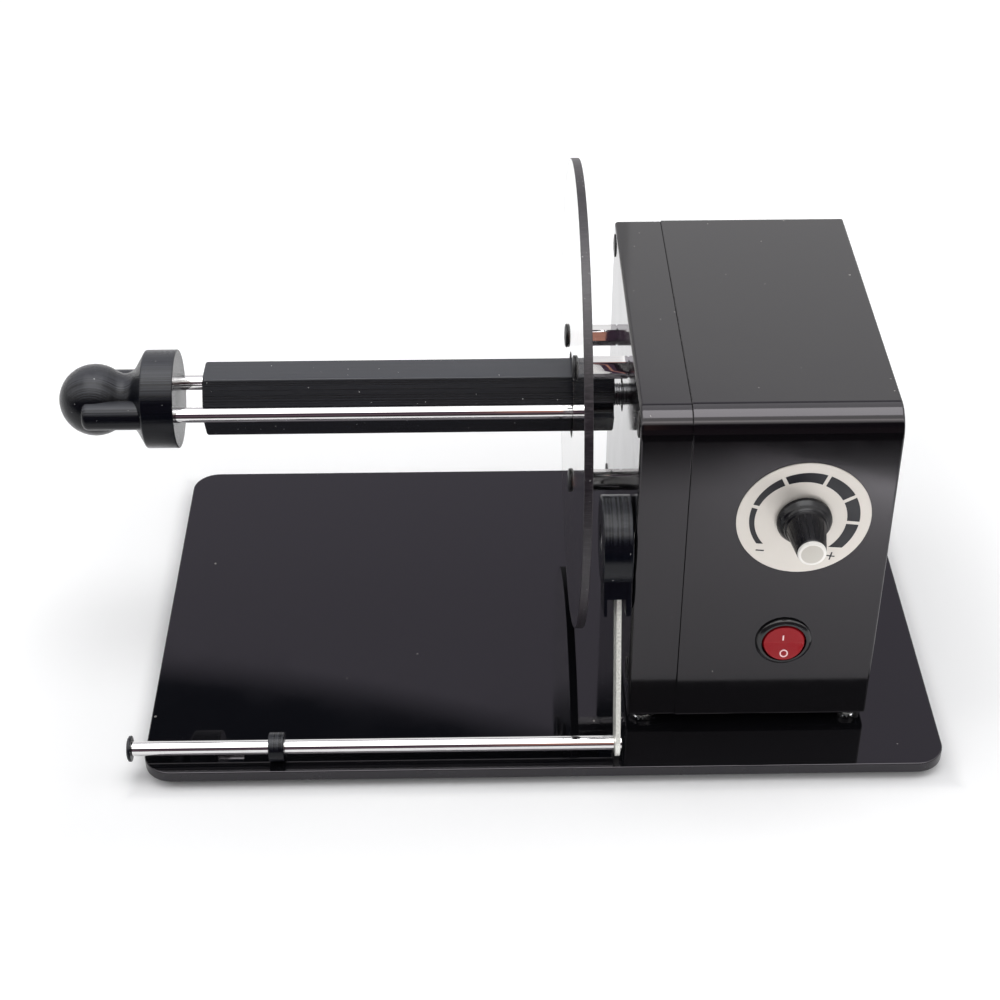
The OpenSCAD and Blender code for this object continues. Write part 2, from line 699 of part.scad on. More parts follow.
module motor_plate() color("#9da1a5") difference() {
    yz_slab(plate_x, plate_t) translate([spin_y - plate_side / 2, spin_z - motor_drop / 2 - plate_side / 2])
        rounded(plate_side, plate_side, [5, 5, 5, 5]);
    on_spindle() along_x(plate_x - 1, 5, 12 + seat);
    for (p = pillar_at) post_x(p, plate_x - 1, plate_x + 5, 3.4);
    for (p = face_screw_at) on_axis(spin_y + p[0], spin_z + p[1]) along_x(plate_x - 1, 5, 3.2);
}

module motor_pillars() color("#c4c7ca") for (p = pillar_at) on_axis(p[0], p[1]) {
    difference() {
        hex_x(wall_in_x + pillar_boss_h, plate_x - wall_in_x - pillar_boss_h, pillar_d);
        along_x(plate_x - 8, 9, 3.1);
    }
    along_x(wall_in_x + 0.5, pillar_boss_h, 3);
}

module upright_screw(x, y, z, d, head_d, l) translate([x, y, z]) {
    translate([0, 0, -l]) cylinder(d = d, h = l + skin);
    difference() {
        cylinder(d = head_d, h = d * 0.7);
        translate([-head_d, -0.4, d * 0.35]) cube([2 * head_d, 0.8, d]);
    }
}

module inside_screws() color("#8d9095") {
    for (p = standoff_at) translate([2 * (wall_in_x + 2), 0, 0]) mirror([1, 0, 0])
        pan_screw_x(p, wall_in_x + 2, 7.6, 2.6, case_screw_d, case_wall + 2 + 8);
    for (p = board_hole_at) upright_screw(p[0], p[1], board_top, 2.5, 5.5, board_t + 6);
    for (s = [-1, 1]) translate([sensor_x, pivot_y + sensor_base_r - 2, pivot_z + s * 6]) {
        along_y(-1.2, 1.2, 4.2);
        along_y(-skin, shelf_t + 2, 2.2);
    }
    for (p = pillar_at) translate([2 * (plate_x + plate_t), 0, 0]) mirror([1, 0, 0])
        pan_screw_x(p, plate_x + plate_t, 5.6, 2, 3, plate_t + 5);
    for (p = face_screw_at) pan_screw_x([spin_y + p[0], spin_z + p[1]], plate_x, 5.6, 2, 3, plate_t + 1.6);
}

// Tension arm, drawn hanging straight down from its pivot and then leaned forward
module leaned() on_pivot() rotate([-arm_lean, 0, 0]) children();
clamp_w = strip_w + 6;
pivot_sink = 2.4;
hub_screw_z = -hub_d / 2 - 0.5;
hub_screw_sink = 2.2;

module arm_hub() color("#17181b") leaned() difference() {
    union() {
        along_x(hub_x0, hub_w, hub_d);
        box_at([hub_x0 + 0.8, -clamp_w / 2, -clamp_l + 7], [hub_x1 - 0.5, clamp_w / 2, 0]);
        box_at([hub_x0 + 0.8, -clamp_w / 2, -clamp_l], [hub_x0 + 2, clamp_w / 2, -clamp_l + 8]);
        box_at([hub_x1 - 2.5, -clamp_w / 2, -clamp_l], [hub_x1 - 0.5, clamp_w / 2, -clamp_l + 8]);
    }
    along_x(hub_x0 - 1, hub_w + 2, pivot_d + seat);
    along_x(hub_x0 - 1, 1 + pivot_sink, pivot_d + 5);
    box_at([strip_x0 - seat, -strip_w / 2 - seat, -clamp_l - 1],
           [strip_x0 + strip_t + seat, strip_w / 2 + seat, -hub_d / 2 + 4]);
    for (s = [-1, 1]) on_axis(s * 3.6, hub_screw_z) {
        along_x(hub_x0 - 1, hub_w + 2, 3.1);
        along_x(hub_x0 - 1, 1 + hub_screw_sink, 5.6);
    }
}

strip_end_z = -arm_l + strip_w / 2 - 5.3;
module arm_strip() color("#b9bcc0") leaned() difference() {
    union() {
        box_at([strip_x0, -strip_w / 2, strip_end_z], [strip_x0 + strip_t, strip_w / 2, -hub_d / 2 + 3.5]);
        on_axis(0, strip_end_z) along_x(strip_x0, strip_t, strip_w);
    }
    on_axis(0, -arm_l) along_x(strip_x0 - 1, strip_t + 2, 3.2);
    for (s = [-1, 1]) on_axis(s * 3.6, hub_screw_z) along_x(strip_x0 - 1, strip_t + 2, 3.1);
}

module hub_screws() color("#3a3c40") leaned() for (s = [-1, 1]) {
    on_axis(s * 3.6, hub_screw_z) {
        along_x(hub_x0 + hub_screw_sink - 1.2, 1.2, 5);
        along_x(hub_x0 + hub_screw_sink - skin, hub_w - hub_screw_sink - 0.6, 3);
    }
}

module tension_bar() color("#e0e2e5") leaned() on_axis(0, -arm_l) difference() {
    union() {
        along_x(bar_x0, strip_x0 - bar_x0, bar_d);
        along_x(strip_x0 - skin, strip_t + 0.2, 3);
        along_x(strip_x0 + strip_t, 1.3, 6.4);
    }
    along_x(bar_x0 - 1, 6, 3.1);
}

module bar_end_cap() color("#1a1b1e") leaned() on_axis(0, -arm_l) {
    along_x(bar_x0 - 1.1, 1.1, bar_cap_d);
    cone_x(bar_x0 - 1.8, 0.7, bar_cap_d - 2, bar_cap_d);
    along_x(bar_x0 - skin, 4.5, 3);
}

module guide_ring() color("#1a1b1e") leaned() on_axis(0, -arm_l) difference() {
    along_x(base_x0 + ring_from_left, ring_w, ring_d);
    along_x(base_x0 + ring_from_left - 1, ring_w + 2, bar_d + 2 * running);
}

module arm_pivot_shaft() color("#b9bcc0") on_pivot() difference() {
    union() {
        along_x(hub_x0 + pivot_sink - 2, 2, pivot_d + 4.6);
        along_x(hub_x0 + pivot_sink - skin, flag_x + flag_hub_w + 3 - hub_x0 - pivot_sink, pivot_d);
        along_x(flag_x + flag_hub_w + 0.3, 1.2, pivot_d + 5);
    }
    yz_slab(hub_x0 + pivot_sink - 3, 2) circle(d = 5, $fn = 6);
}

module pivot_bush() color("#b98a4b") on_pivot() difference() {
    union() {
        along_x(case_x0 + skin, bush_l + case_wall - 0.5, bush_od);
        along_x(case_x0 + skin, 1 - skin, bush_flange_d);
    }
    along_x(case_x0 - 1, bush_l + 8, pivot_d + 2 * running);
}

module sensor_flag() color("#222326") on_pivot() difference() {
    union() {
        along_x(flag_x, flag_hub_w, 15);
        intersection() {
            along_x(sensor_x - flag_vane_t / 2, flag_vane_t, 2 * flag_r);
            yz_slab(sensor_x - flag_vane_t / 2, flag_vane_t)
                polygon([[0, 0], [flag_r * 1.2 * cos(-9), flag_r * 1.2 * sin(-9)],
                         [flag_r * 1.2 * cos(9), flag_r * 1.2 * sin(9)]]);
        }
    }
    along_x(flag_x - 1, flag_hub_w + 2, pivot_d + 2 * skin);
}

module slot_sensor() color("#26282c") on_pivot() {
    inner = sensor_gap / 2;
    outer = inner + sensor_post_t;
    difference() {
        box_at([sensor_x - outer, sensor_base_r - 11, -3.5], [sensor_x + outer, sensor_base_r, 3.5]);
        box_at([sensor_x - inner, sensor_base_r - 12, -4], [sensor_x + inner, sensor_base_r - 2.5, 4]);
    }
    difference() {
        box_at([sensor_x - 3, sensor_base_r - 2, -9], [sensor_x + 3, sensor_base_r, 9]);
        for (s = [-1, 1]) translate([sensor_x, 0, s * 6]) along_y(sensor_base_r - 3, 4, 2.6);
    }
}

// Speed control
module at_dial() translate([dial_x, 0, dial_z]) children();
module dial_plate() color("#e9e6e0") at_dial() difference() {
    along_y(case_y0 - dial_t, dial_t, dial_d);
    along_y(case_y0 - 2, 3, pot_bush_d + 2 * seat);
}

knob_y = case_y0 - dial_t - 0.7;
knob_end_y = knob_y - knob_l;
knob_cap_t = 1.4;
module knob_turned(points)
    at_dial() translate([0, knob_y, 0]) rotate([90, 0, 0]) rotate_extrude() polygon(points);

module speed_knob() color("#101114") difference() {
    knob_turned([[0, 0], [knob_skirt_d / 2, 0], [knob_skirt_d / 2, 1.6], [knob_skirt_d / 2 - 0.9, 3.4],
                 [knob_grip_d / 2 + 0.8, 4.6], [knob_grip_d / 2 + 0.8, 5.6], [knob_grip_d / 2, 6],
                 [knob_tip_d / 2, knob_l - knob_cap_t], [0, knob_l - knob_cap_t]]);
    at_dial() along_y(knob_y - 4.2, 5, 14.2);
    at_dial() along_y(knob_y - 14, 15, pot_shaft_d + seat);
    at_dial() along_y(knob_end_y, knob_cap_t + 1.6, knob_tip_d - 4);
    taper = atan((knob_grip_d - knob_tip_d) / 2 / (knob_l - 6.6));
    for (k = [0:17]) at_dial() rotate([0, k * 20, 0])
        translate([knob_grip_d / 2 + 0.2, knob_y - 7, 0]) rotate([90, 0, -taper])
            cylinder(d = 0.9, h = knob_l - 10);
}

module knob_cap() color("#d9d6d2") {
    r = knob_tip_d / 2;
    face = knob_l - knob_cap_t;
    knob_turned([[0, face - 1.5], [r - 2.05, face - 1.5], [r - 2.05, face], [r - 0.1, face],
                 [r - 0.1, knob_l - 0.8], [r - 0.4, knob_l - 0.3], [r - 1.2, knob_l], [0, knob_l + 0.2]]);
}

module pot_body() color("#5d6f62") at_dial() difference() {
    union() {
        along_y(front_in_y + 1, pot_body_l, pot_body_d);
        along_y(case_y0 - dial_t - 3.2, case_wall + dial_t + 4.4, pot_bush_d);
        box_at([-8, front_in_y + 2.4, -14.5], [8, front_in_y + 4, -6]);
        for (x = [-5, 0, 5]) box_at([x - 0.5, front_in_y + 2.8, -18], [x + 0.5, front_in_y + 3.6, -14]);
        along_y(front_in_y, 1.2, 10);
    }
    along_y(case_y0 - 10, 10 + case_wall + 5, pot_shaft_d + 2 * running);
}

module pot_shaft() color("#c9ccd0") at_dial()
    along_y(knob_y - 13, front_in_y + 4 - knob_y + 13, pot_shaft_d);

module pot_nut() color("#b9bcc0") at_dial() difference() {
    translate([0, case_y0 - dial_t, 0]) rotate([90, 0, 0]) cylinder(d = 10 / cos(30), h = 2, $fn = 6);
    along_y(case_y0 - 5, 6, pot_bush_d + 2 * skin);
}

// Rocker switch
module at_switch() translate([switch_x, 0, switch_z]) children();
module switch_body() color("#101114") at_switch() difference() {
    union() {
        translate([0, case_y0, 0]) rotate([90, 0, 0]) rotate_extrude()
            polygon([[0, 0], [bezel_d / 2, 0], [bezel_d / 2, bezel_t - 1], [bezel_d / 2 - 1.4, bezel_t],
                     [0, bezel_t]]);
        along_y(case_y0 - skin, 16, switch_cut_d - 2 * seat);
        for (z = [-5, 0, 5]) box_at([-2.4, case_y0 + 15, z - 0.4], [2.4, case_y0 + 24, z + 0.4]);
    }
    along_y(case_y0 - bezel_t - 1, bezel_t + 1 + 12.5, 2 * bezel_hole_r);
    translate([0, case_y0 + rocker_back, 0]) rotate([0, 90, 0]) cylinder(d = 2.2, h = 19.2, center = true);
}

module switch_rocker() color("#b3202a") at_switch() translate([0, case_y0 + rocker_back, 0]) {
    rotate([-rocker_tilt, 0, 0]) intersection() {
        sphere(rocker_r);
        union() {
            rotate([rocker_tilt, 0, 0]) box_at([-9, -3.4, -0.3], [9, 3, 9]);
            rotate([-rocker_tilt, 0, 0]) box_at([-9, -3.4, -9], [9, 3, 0.3]);
        }
    }
    rotate([0, 90, 0]) cylinder(d = 2.1, h = 18.8, center = true);
}

// Control board
board_hole_at = [for (x = [board_x0 + board_hole_inset, board_x0 + board_w - board_hole_inset])
                 for (y = [board_y0 + board_hole_inset, board_y0 + board_l - board_hole_inset]) [x, y]];
board_top = board_z + board_t;

module control_board() color("#1f5a38") difference() {
    translate([board_x0, board_y0, board_z]) linear_extrude(board_t) rounded(board_w, board_l, [2, 2, 2, 2]);
    for (p = board_hole_at) translate([p[0], p[1], board_z - 1]) cylinder(d = 2.7, h = 5);
}

module board_capacitor() color("#2b3350") for (p = [[14, 20], [14, 34]])
    translate([board_x0 + p[0], board_y0 + p[1], board_top]) {
        cylinder(d = 10, h = 15.5);
        translate([0, 0, 15.5]) cylinder(d = 8.4, h = 0.5);
    }

module board_heat_sink() color("#9a9da1") translate([board_x0 + 34, board_y0 + 24, board_top]) {
    cube([22, 2.5, 20]);
    for (k = [0:5]) translate([1 + k * 3.9, 2.4, 0]) cube([1.1, 8, 20]);
    translate([6, -4.6, 4]) cube([10, 4.6, 12]);
    for (x = [8, 11, 14]) translate([x - 0.4, -3, 0]) cube([0.8, 0.6, 5]);
}

module board_terminals() color("#2f7a52") for (side = [0, 1]) for (k = [0:4])
    translate([board_x0 + 14 + k * 7.5, board_y0 + 1.5 + side * (board_l - 11), board_top]) difference() {
        cube([7.3, 8, 9.5]);
        translate([3.65, 4, 5]) cylinder(d = 4, h = 6);
        translate([1.4, side == 0 ? -1 : 6, 1.2]) cube([4.5, 3, 3]);
    }

module power_socket() color("#141518") translate([socket_x, 0, socket_z]) difference() {
    union() {
        along_y(case_y1, 2, 14);
        along_y(case_y1 - case_wall - 8.5, case_wall + 8.6, socket_thread_d);
        along_y(case_y1 - case_wall - 14, 6, 8.5);
        for (z = [-2.6, 2.6])
            box_at([-1.2, case_y1 - case_wall - 19, z - 0.3], [1.2, case_y1 - case_wall - 13, z + 0.3]);
    }
    difference() {
        along_y(case_y1 - case_wall - 8, 20, 6.2);
        along_y(case_y1 - case_wall - 9, case_wall + 9.5, 2);
    }
}

module power_socket_nut() color("#b9bcc0") translate([socket_x, case_y1 - case_wall, socket_z]) difference() {
    rotate([90, 0, 0]) cylinder(d = 14 / cos(30), h = 2.4, $fn = 6);
    along_y(-4, 6, socket_thread_d + 2 * skin);
}

// Wires inside the case: each strand is one tube swept along a smooth curve through four points
wire_d = 1.6;
wire_rings = 13;
wire_sides = 6;
function bend(p, t) = let (u = 1 - t)
    u * u * u * p[0] + 3 * u * u * t * p[1] + 3 * u * t * t * p[2] + t * t * t * p[3];
function slope(p, t) = let (u = 1 - t)
    3 * u * u * (p[1] - p[0]) + 6 * u * t * (p[2] - p[1]) + 3 * t * t * (p[3] - p[2]);
function unit(v) = v / norm(v);
function side_of(d) = unit(cross(d, abs(d[0]) < 0.9 ? [1, 0, 0] : [0, 1, 0]));

module strand(p) {
    rings = [for (i = [0:wire_rings - 1]) let (t = i / (wire_rings - 1), d = unit(slope(p, t)),
                                               s = side_of(d), n = cross(d, s))
        for (k = [0:wire_sides - 1]) bend(p, t) + wire_d / 2 * (cos(60 * k) * s + sin(60 * k) * n)];
    last = (wire_rings - 1) * wire_sides;
    polyhedron(rings, concat(
        [[for (k = [0:wire_sides - 1]) k]],
        [[for (k = [0:wire_sides - 1]) last + wire_sides - 1 - k]],
        [for (i = [0:wire_rings - 2]) for (k = [0:wire_sides - 1]) let (a = i * wire_sides + k,
            b = i * wire_sides + (k + 1) % wire_sides)
         each [[a, a + wire_sides, b], [b, a + wire_sides, b + wire_sides]]]));
}

module inside_wires() color("#8c2f2f") {
    in_z = board_top + 2.7;
    for (k = [0, 1]) {
        front = [board_x0 + 17.65 + k * 7.5, board_y0 + 3.2, in_z];
        tab = [switch_x, case_y0 + 24.9, switch_z - 5 + k * 10];
        strand([tab, tab + [-3, 9, -3 - 9 * k], front + [0, -22, 2], front]);
        back = [board_x0 + 40.15 + k * 7.5, board_y0 + board_l - 3.2, in_z];
        pin = [socket_x, case_y1 - case_wall - 19.8, socket_z - 2.6 + k * 5.2];
        strand([pin, pin + [-3, -12, -3 + 2 * k], back + [0, 24, 3], back]);
        lug = [can_x1 + 7.3, spin_y - 9 + k * 18, spin_z - motor_drop];
        top = [board_x0 + 17.65 + k * 7.5, board_y0 + board_l - 3.2, in_z];
        strand([lug, lug + [12, 0, -8], top + [0, 30, 1.5], top]);
    }
    for (k = [0:2]) {
        pad = [dial_x - 5 + k * 5, front_in_y + 3.2, dial_z - 19.1];
        mid = [board_x0 + 32.65 + k * 7.5, board_y0 + 3.2, in_z];
        strand([pad, pad + [0, 24, -14], mid + [0, -30, 4], mid]);
    }
}

base_plate();
rubber_feet();
case_spacers();
base_screws();
case_left_shell();
case_right_shell();
case_screws();
guide_disc();
disc_standoffs();
disc_screws();
hub_screws();
winding_core();
spindle_shaft();
bearing_outer_ring();
bearing_balls();
bearing_inner_ring();
shaft_coupling();
coupling_screws();
fork_handle();
fork_rods();
gearbox_face_plate();
gearbox_ring();
output_shaft();
output_gear();
double_gear_near();
double_gear_far();
gear_pins();
motor_pinion();
motor_rotor();
motor_magnets();
motor_can();
motor_end_cap();
motor_plate();
motor_pillars();
inside_screws();
arm_hub();
arm_strip();
tension_bar();
bar_end_cap();
guide_ring();
arm_pivot_shaft();
pivot_bush();
sensor_flag();
slot_sensor();
dial_plate();
speed_knob();
knob_cap();
pot_body();
pot_shaft();
pot_nut();
switch_body();
switch_rocker();
control_board();
board_capacitor();
board_heat_sink();
board_terminals();
power_socket();
power_socket_nut();
inside_wires();
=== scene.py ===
"""Looks of the desk label rewinder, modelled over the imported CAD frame.

Every length in the modelling code is in millimetres in the CAD frame and is turned into
metres where it meets Blender: X runs right along the spindle, Y runs back, Z is up.
"""

from contextlib import contextmanager
from math import cos, pi, radians, sin, sqrt

import bpy
from mathutils import Matrix, Vector


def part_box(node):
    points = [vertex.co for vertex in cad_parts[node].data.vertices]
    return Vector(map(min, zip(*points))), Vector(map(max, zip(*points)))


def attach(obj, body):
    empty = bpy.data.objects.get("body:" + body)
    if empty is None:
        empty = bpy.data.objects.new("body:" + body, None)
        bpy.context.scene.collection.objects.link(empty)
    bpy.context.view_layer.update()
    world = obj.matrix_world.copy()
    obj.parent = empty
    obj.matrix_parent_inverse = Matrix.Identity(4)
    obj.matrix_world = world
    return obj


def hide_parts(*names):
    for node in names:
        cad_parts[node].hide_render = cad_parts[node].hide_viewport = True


bl_info = {
    "name": "Label rewinder",
    "version": (1, 0, 0),
    "blender": (4, 5, 0),
    "location": "View3D > Sidebar > Rewinder",
    "description": "Builds the finished pieces of a desk label rewinder over its CAD frame",
    "category": "Object",
}

MM = 0.001
AXES = {"X": Vector((1, 0, 0)), "Y": Vector((0, 1, 0)), "Z": Vector((0, 0, 1))}
FACING = {"X": (0, pi / 2, 0), "Y": (-pi / 2, 0, 0), "Z": (0, 0, 0)}
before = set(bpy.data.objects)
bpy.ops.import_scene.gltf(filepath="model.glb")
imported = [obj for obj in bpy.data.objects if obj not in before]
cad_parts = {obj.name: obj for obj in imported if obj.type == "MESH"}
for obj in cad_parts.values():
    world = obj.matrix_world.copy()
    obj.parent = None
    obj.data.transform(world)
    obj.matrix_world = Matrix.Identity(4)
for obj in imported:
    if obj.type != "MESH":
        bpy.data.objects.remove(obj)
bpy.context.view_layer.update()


def span(node):
    """Lowest and highest corner of a CAD node in millimetres."""
    low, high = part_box(node)
    return low / MM, high / MM


def middle(node):
    low, high = span(node)
    return (low + high) / 2


# ---------------------------------------------------------------- places taken from the frame
BASE_LO, BASE_HI = span("base_plate")
CASE_LO, CASE_HI = span("case_right_shell")
SEAM, CASE_LO.x = CASE_LO.x, span("case_left_shell")[0].x
DISC_LO, DISC_HI = span("guide_disc")
SPIN = middle("guide_disc")
PIVOT = middle("arm_pivot_shaft")
DIAL = middle("dial_plate")
SWITCH = middle("switch_rocker")
BAR = middle("tension_bar")
STANDOFF_TURN = radians(10)
STANDOFF_R = 37.5  # circle of the standoffs round the spindle
ARM_LEAN = radians(21.5)
ARM_L = 86.8  # pivot to tension bar
CORE_CORNER = 15.6  # radius of the core's corners
CORE_TURN = radians(3)
ROD_R = 13.5  # circle of the fork's rods round the spindle
ROD = 3.2  # radius of a rod


# ---------------------------------------------------------------- what a user may change
def length(name, description, default, low, high):
    return bpy.props.FloatProperty(
        name=name, description=description, default=default, min=low, max=high,
        precision=5, unit="LENGTH", subtype="DISTANCE")


class RewinderSizes(bpy.types.PropertyGroup):
    plate_edge: length("Plate edge", "Rounding of the plate's top and bottom edge", 0.0005, 0.0001, 0.002)
    case_edge: length("Case edge", "Rounding of the case's seam", 0.00035, 0.0001, 0.001)
    print_edge: length("Printed edge", "Rounding of the printed parts' edges", 0.0005, 0.0001, 0.001)
    metal_edge: length("Metal edge", "Rounding of the metal parts' edges", 0.0002, 0.00005, 0.0005)
    layer: length("Print layer", "Height of one printed layer", 0.0003, 0.0001, 0.0006)
    round_sides: bpy.props.IntProperty(
        name="Sides of round parts", description="Corners that a full circle gets",
        default=128, min=32, max=256)


def colour(name, description, default):
    return bpy.props.FloatVectorProperty(
        name=name, description=description, default=default, size=3, min=0, max=1, subtype="COLOR")


class RewinderColours(bpy.types.PropertyGroup):
    plate: colour("Plate", "Gloss black of the base plate", (0.004, 0.004, 0.005))
    case: colour("Case", "Black of the case's two shells", (0.0025, 0.0025, 0.003))
    print_black: colour("Printed parts", "Black of the core, handle and arm hub", (0.0015, 0.002, 0.004))
    dial: colour("Dial", "White of the dial plate", (0.64, 0.60, 0.555))
    marks: colour("Dial marks", "Black of the dial's segments and signs", (0.010, 0.010, 0.014))
    rocker: colour("Rocker", "Red of the switch's rocker", (0.23, 0.004, 0.008))
    cap: colour("Knob cap", "White of the knob's cap", (0.74, 0.72, 0.69))
    floor: colour("Floor", "White of the floor", (0.90, 0.90, 0.91))


def sizes():
    return bpy.context.scene.rewinder_sizes


def colours():
    return bpy.context.scene.rewinder_colours


# ---------------------------------------------------------------- modelling helpers
def deselect():
    if bpy.context.mode != "OBJECT":
        bpy.ops.object.mode_set(mode="OBJECT")
    bpy.ops.object.select_all(action="DESELECT")


def pick(*pieces):
    """Selects only these pieces, the last one active."""
    deselect()
    for piece in pieces:
        piece.select_set(True)
    bpy.context.view_layer.objects.active = pieces[-1]


def named(name):
    """Names the object that an operator has just added, its place moved into its mesh."""
    piece = bpy.context.view_layer.objects.active
    piece.name = piece.data.name = name
    bpy.ops.object.transform_apply(location=True, rotation=True, scale=True)
    return piece


@contextmanager
def editing(piece):
    """Edit mode on one piece, with its whole mesh selected."""
    pick(piece)
    bpy.ops.object.mode_set(mode="EDIT")
    bpy.ops.mesh.select_all(action="SELECT")
    yield
    bpy.ops.object.mode_set(mode="OBJECT")


def tidy(piece):
    """Merges doubles and turns every face outwards."""
    with editing(piece):
        bpy.ops.mesh.remove_doubles(threshold=1e-6)
        bpy.ops.mesh.normals_make_consistent(inside=False)
    return piece


def turned(name, axis, centre, profile, sides=None, closed=False):
    """Turns a profile of (place along the axis, radius) round an axis through centre.

    A closed profile is a ring's cross-section and comes back to its first point."""
    deselect()
    along, centre = AXES[axis], Vector(centre) * MM
    centre = centre - along * centre.dot(along)
    place, radius = profile[0]
    bpy.ops.mesh.primitive_circle_add(
        vertices=sides or sizes().round_sides, radius=radius * MM,
        fill_type="NOTHING" if closed else "NGON",
        location=centre + along * place * MM, rotation=FACING[axis])
    piece = named(name)
    with editing(piece):
        for (a, ra), (b, rb) in zip(profile, profile[1:] + (profile[:1] if closed else [])):
            bpy.ops.mesh.extrude_region_move(TRANSFORM_OT_translate={"value": along * (b - a) * MM})
            if rb != ra:
                bpy.ops.transform.resize(value=(rb / ra,) * 3, center_override=centre + along * b * MM)
    return tidy(piece)


def post(axis, centre, radius, start, end, sides=64):
    """A plain bar along an axis, mostly to cut a hole with. Few sides give a prism."""
    return turned("post", axis, centre, [(start, radius), (end, radius)], sides)


def chamfered(start, end, radius, edge):
    """The profile of a disc or bar with both ends chamfered."""
    return [(start, radius - edge), (start + edge, radius), (end - edge, radius), (end, radius - edge)]


def block(name, low, high):
    """A box between two corners, as the start of a piece."""
    deselect()
    low, high = Vector(low) * MM, Vector(high) * MM
    bpy.ops.mesh.primitive_cube_add(size=1, location=(low + high) / 2, scale=high - low)
    return named(name)


def cross(start, end, y, z, long, thin):
    """The two flat bars that cut a cross recess, from start to end along X."""
    return [block("slot", (start, y - a, z - b), (end, y + a, z + b)) for a, b in ((long, thin), (thin, long))]


def swing(piece, axis, centre, angle):
    """Turns a piece's mesh round an axis through centre, right-handed."""
    if angle:
        with editing(piece):
            bpy.ops.transform.rotate(value=-angle, orient_axis=axis, orient_type="GLOBAL",
                                     center_override=Vector(centre) * MM)
    return piece


def copy_of(piece, by):
    """A copy with its own mesh, moved."""
    pick(piece)
    bpy.ops.object.duplicate(linked=False)
    twin = bpy.context.view_layer.objects.active
    with editing(twin):
        bpy.ops.transform.translate(value=Vector(by) * MM)
    return twin


def joined(name, *pieces):
    """Joins separate pieces under one name."""
    pick(*pieces)
    if len(pieces) > 1:
        bpy.ops.object.join()
    piece = bpy.context.view_layer.objects.active
    piece.name = piece.data.name = name
    return piece


def shaped(piece, operation, *tools):
    """Cuts, adds or keeps the common part of tools with a boolean modifier, and removes them."""
    for tool in tools:
        pick(piece)
        modifier = piece.modifiers.new("shape", "BOOLEAN")
        modifier.operation, modifier.solver, modifier.object = operation, "EXACT", tool
        bpy.ops.object.modifier_apply(modifier=modifier.name)
        bpy.data.objects.remove(tool)
    return piece


def cut(piece, *tools):
    return shaped(piece, "DIFFERENCE", *tools)


def welded(piece, *tools):
    return shaped(piece, "UNION", *tools)


def bevel_edges(piece, width, segments, test):
    """Bevels, in edit mode, the edges whose two ends in millimetres pass the test."""
    with editing(piece):
        bpy.ops.mesh.select_mode(type="EDGE")
        bpy.ops.mesh.select_all(action="DESELECT")
    for edge in piece.data.edges:
        a, b = (piece.data.vertices[i].co / MM for i in edge.vertices)
        edge.select = bool(test(a, b))
    bpy.ops.object.mode_set(mode="EDIT")
    bpy.ops.mesh.bevel(offset=width * MM, segments=segments, affect="EDGES", clamp_overlap=True)
    bpy.ops.object.mode_set(mode="OBJECT")


def soften(piece, width, segments, angle):
    """Rounds all sharp edges with a bevel modifier, and shades the rest smooth."""
    pick(piece)
    modifier = piece.modifiers.new("edges", "BEVEL")
    modifier.width, modifier.segments = width, segments
    modifier.limit_method, modifier.angle_limit = "ANGLE", radians(angle)
    modifier.miter_outer = "MITER_ARC"
    modifier.use_clamp_overlap = True
    bpy.ops.object.modifier_apply(modifier=modifier.name)
    return smooth(piece, angle)


def smooth(piece, angle=35):
    """Shades round faces smooth, and keeps large flat faces flat with area-weighted normals."""
    pick(piece)
    bpy.ops.object.shade_smooth_by_angle(angle=radians(angle))
    modifier = piece.modifiers.new("normals", "WEIGHTED_NORMAL")
    modifier.mode, modifier.weight, modifier.keep_sharp = "FACE_AREA", 100, True
    bpy.ops.object.modifier_apply(modifier=modifier.name)
    return piece


def cad_copy(node, name):
    """A copy of a CAD node's mesh, merged, its flat faces made whole, to be refined."""
    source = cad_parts[node]
    pick(source)
    bpy.ops.object.duplicate(linked=False)
    piece = bpy.context.view_layer.objects.active
    for key in list(piece.keys()):
        del piece[key]
    piece.parent = None
    piece.name = piece.data.name = name
    with editing(piece):
        bpy.ops.mesh.remove_doubles(threshold=2e-6)
        bpy.ops.mesh.dissolve_limited(angle_limit=radians(0.3))
    return piece


def paint(piece, *materials):
    piece.data.materials.clear()
    for material in materials:
        piece.data.materials.append(material)
    return piece


def paint_faces(piece, index, test):
    """Gives a material slot to the faces whose centre (mm) and normal pass the test."""
    for face in piece.data.polygons:
        if test(face.center / MM, face.normal):
            face.material_index = index


def placed(piece, body, slot, *nodes):
    """Rides the finished piece on its body in place of its CAD nodes."""
    deselect()
    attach(piece, body)
    if nodes:
        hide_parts(*nodes)


def finished(piece, finish, body, slot, *nodes):
    """Paints a piece with one finish and rides it on its body."""
    placed(paint(piece, MATERIALS[finish]), body, slot, *nodes)


def round_about(points, centre, radius):
    """Places on a circle in the YZ plane at those angles."""
    return [(0, centre[1] + radius * cos(a), centre[2] + radius * sin(a)) for a in points]


# ---------------------------------------------------------------- node helpers
def node(tree, kind, inputs=None, **settings):
    """Places a node, its settings made and its sockets linked or set."""
    made = tree.nodes.new(kind)
    for key, value in settings.items():
        setattr(made, key, value)
    for key, value in (inputs or {}).items():
        if isinstance(value, bpy.types.NodeSocket):
            tree.links.new(value, made.inputs[key])
        else:
            made.inputs[key].default_value = value
    return made


def maths(tree, operation, a, b=0.0):
    return node(tree, "ShaderNodeMath", {0: a, 1: b}, operation=operation).outputs[0]


def between(tree, value, low, high, to_low=0.0, to_high=1.0):
    """A value mapped smoothly from low..high to to_low..to_high."""
    made = node(tree, "ShaderNodeMapRange", {
        "Value": value, "From Min": low, "From Max": high, "To Min": to_low, "To Max": to_high},
        interpolation_type="SMOOTHSTEP")
    return made.outputs[0]


def mixed(tree, share, a, b):
    """A mix of two colours."""
    return node(tree, "ShaderNodeMix", {0: share, 6: a, 7: b}, data_type="RGBA").outputs[2]


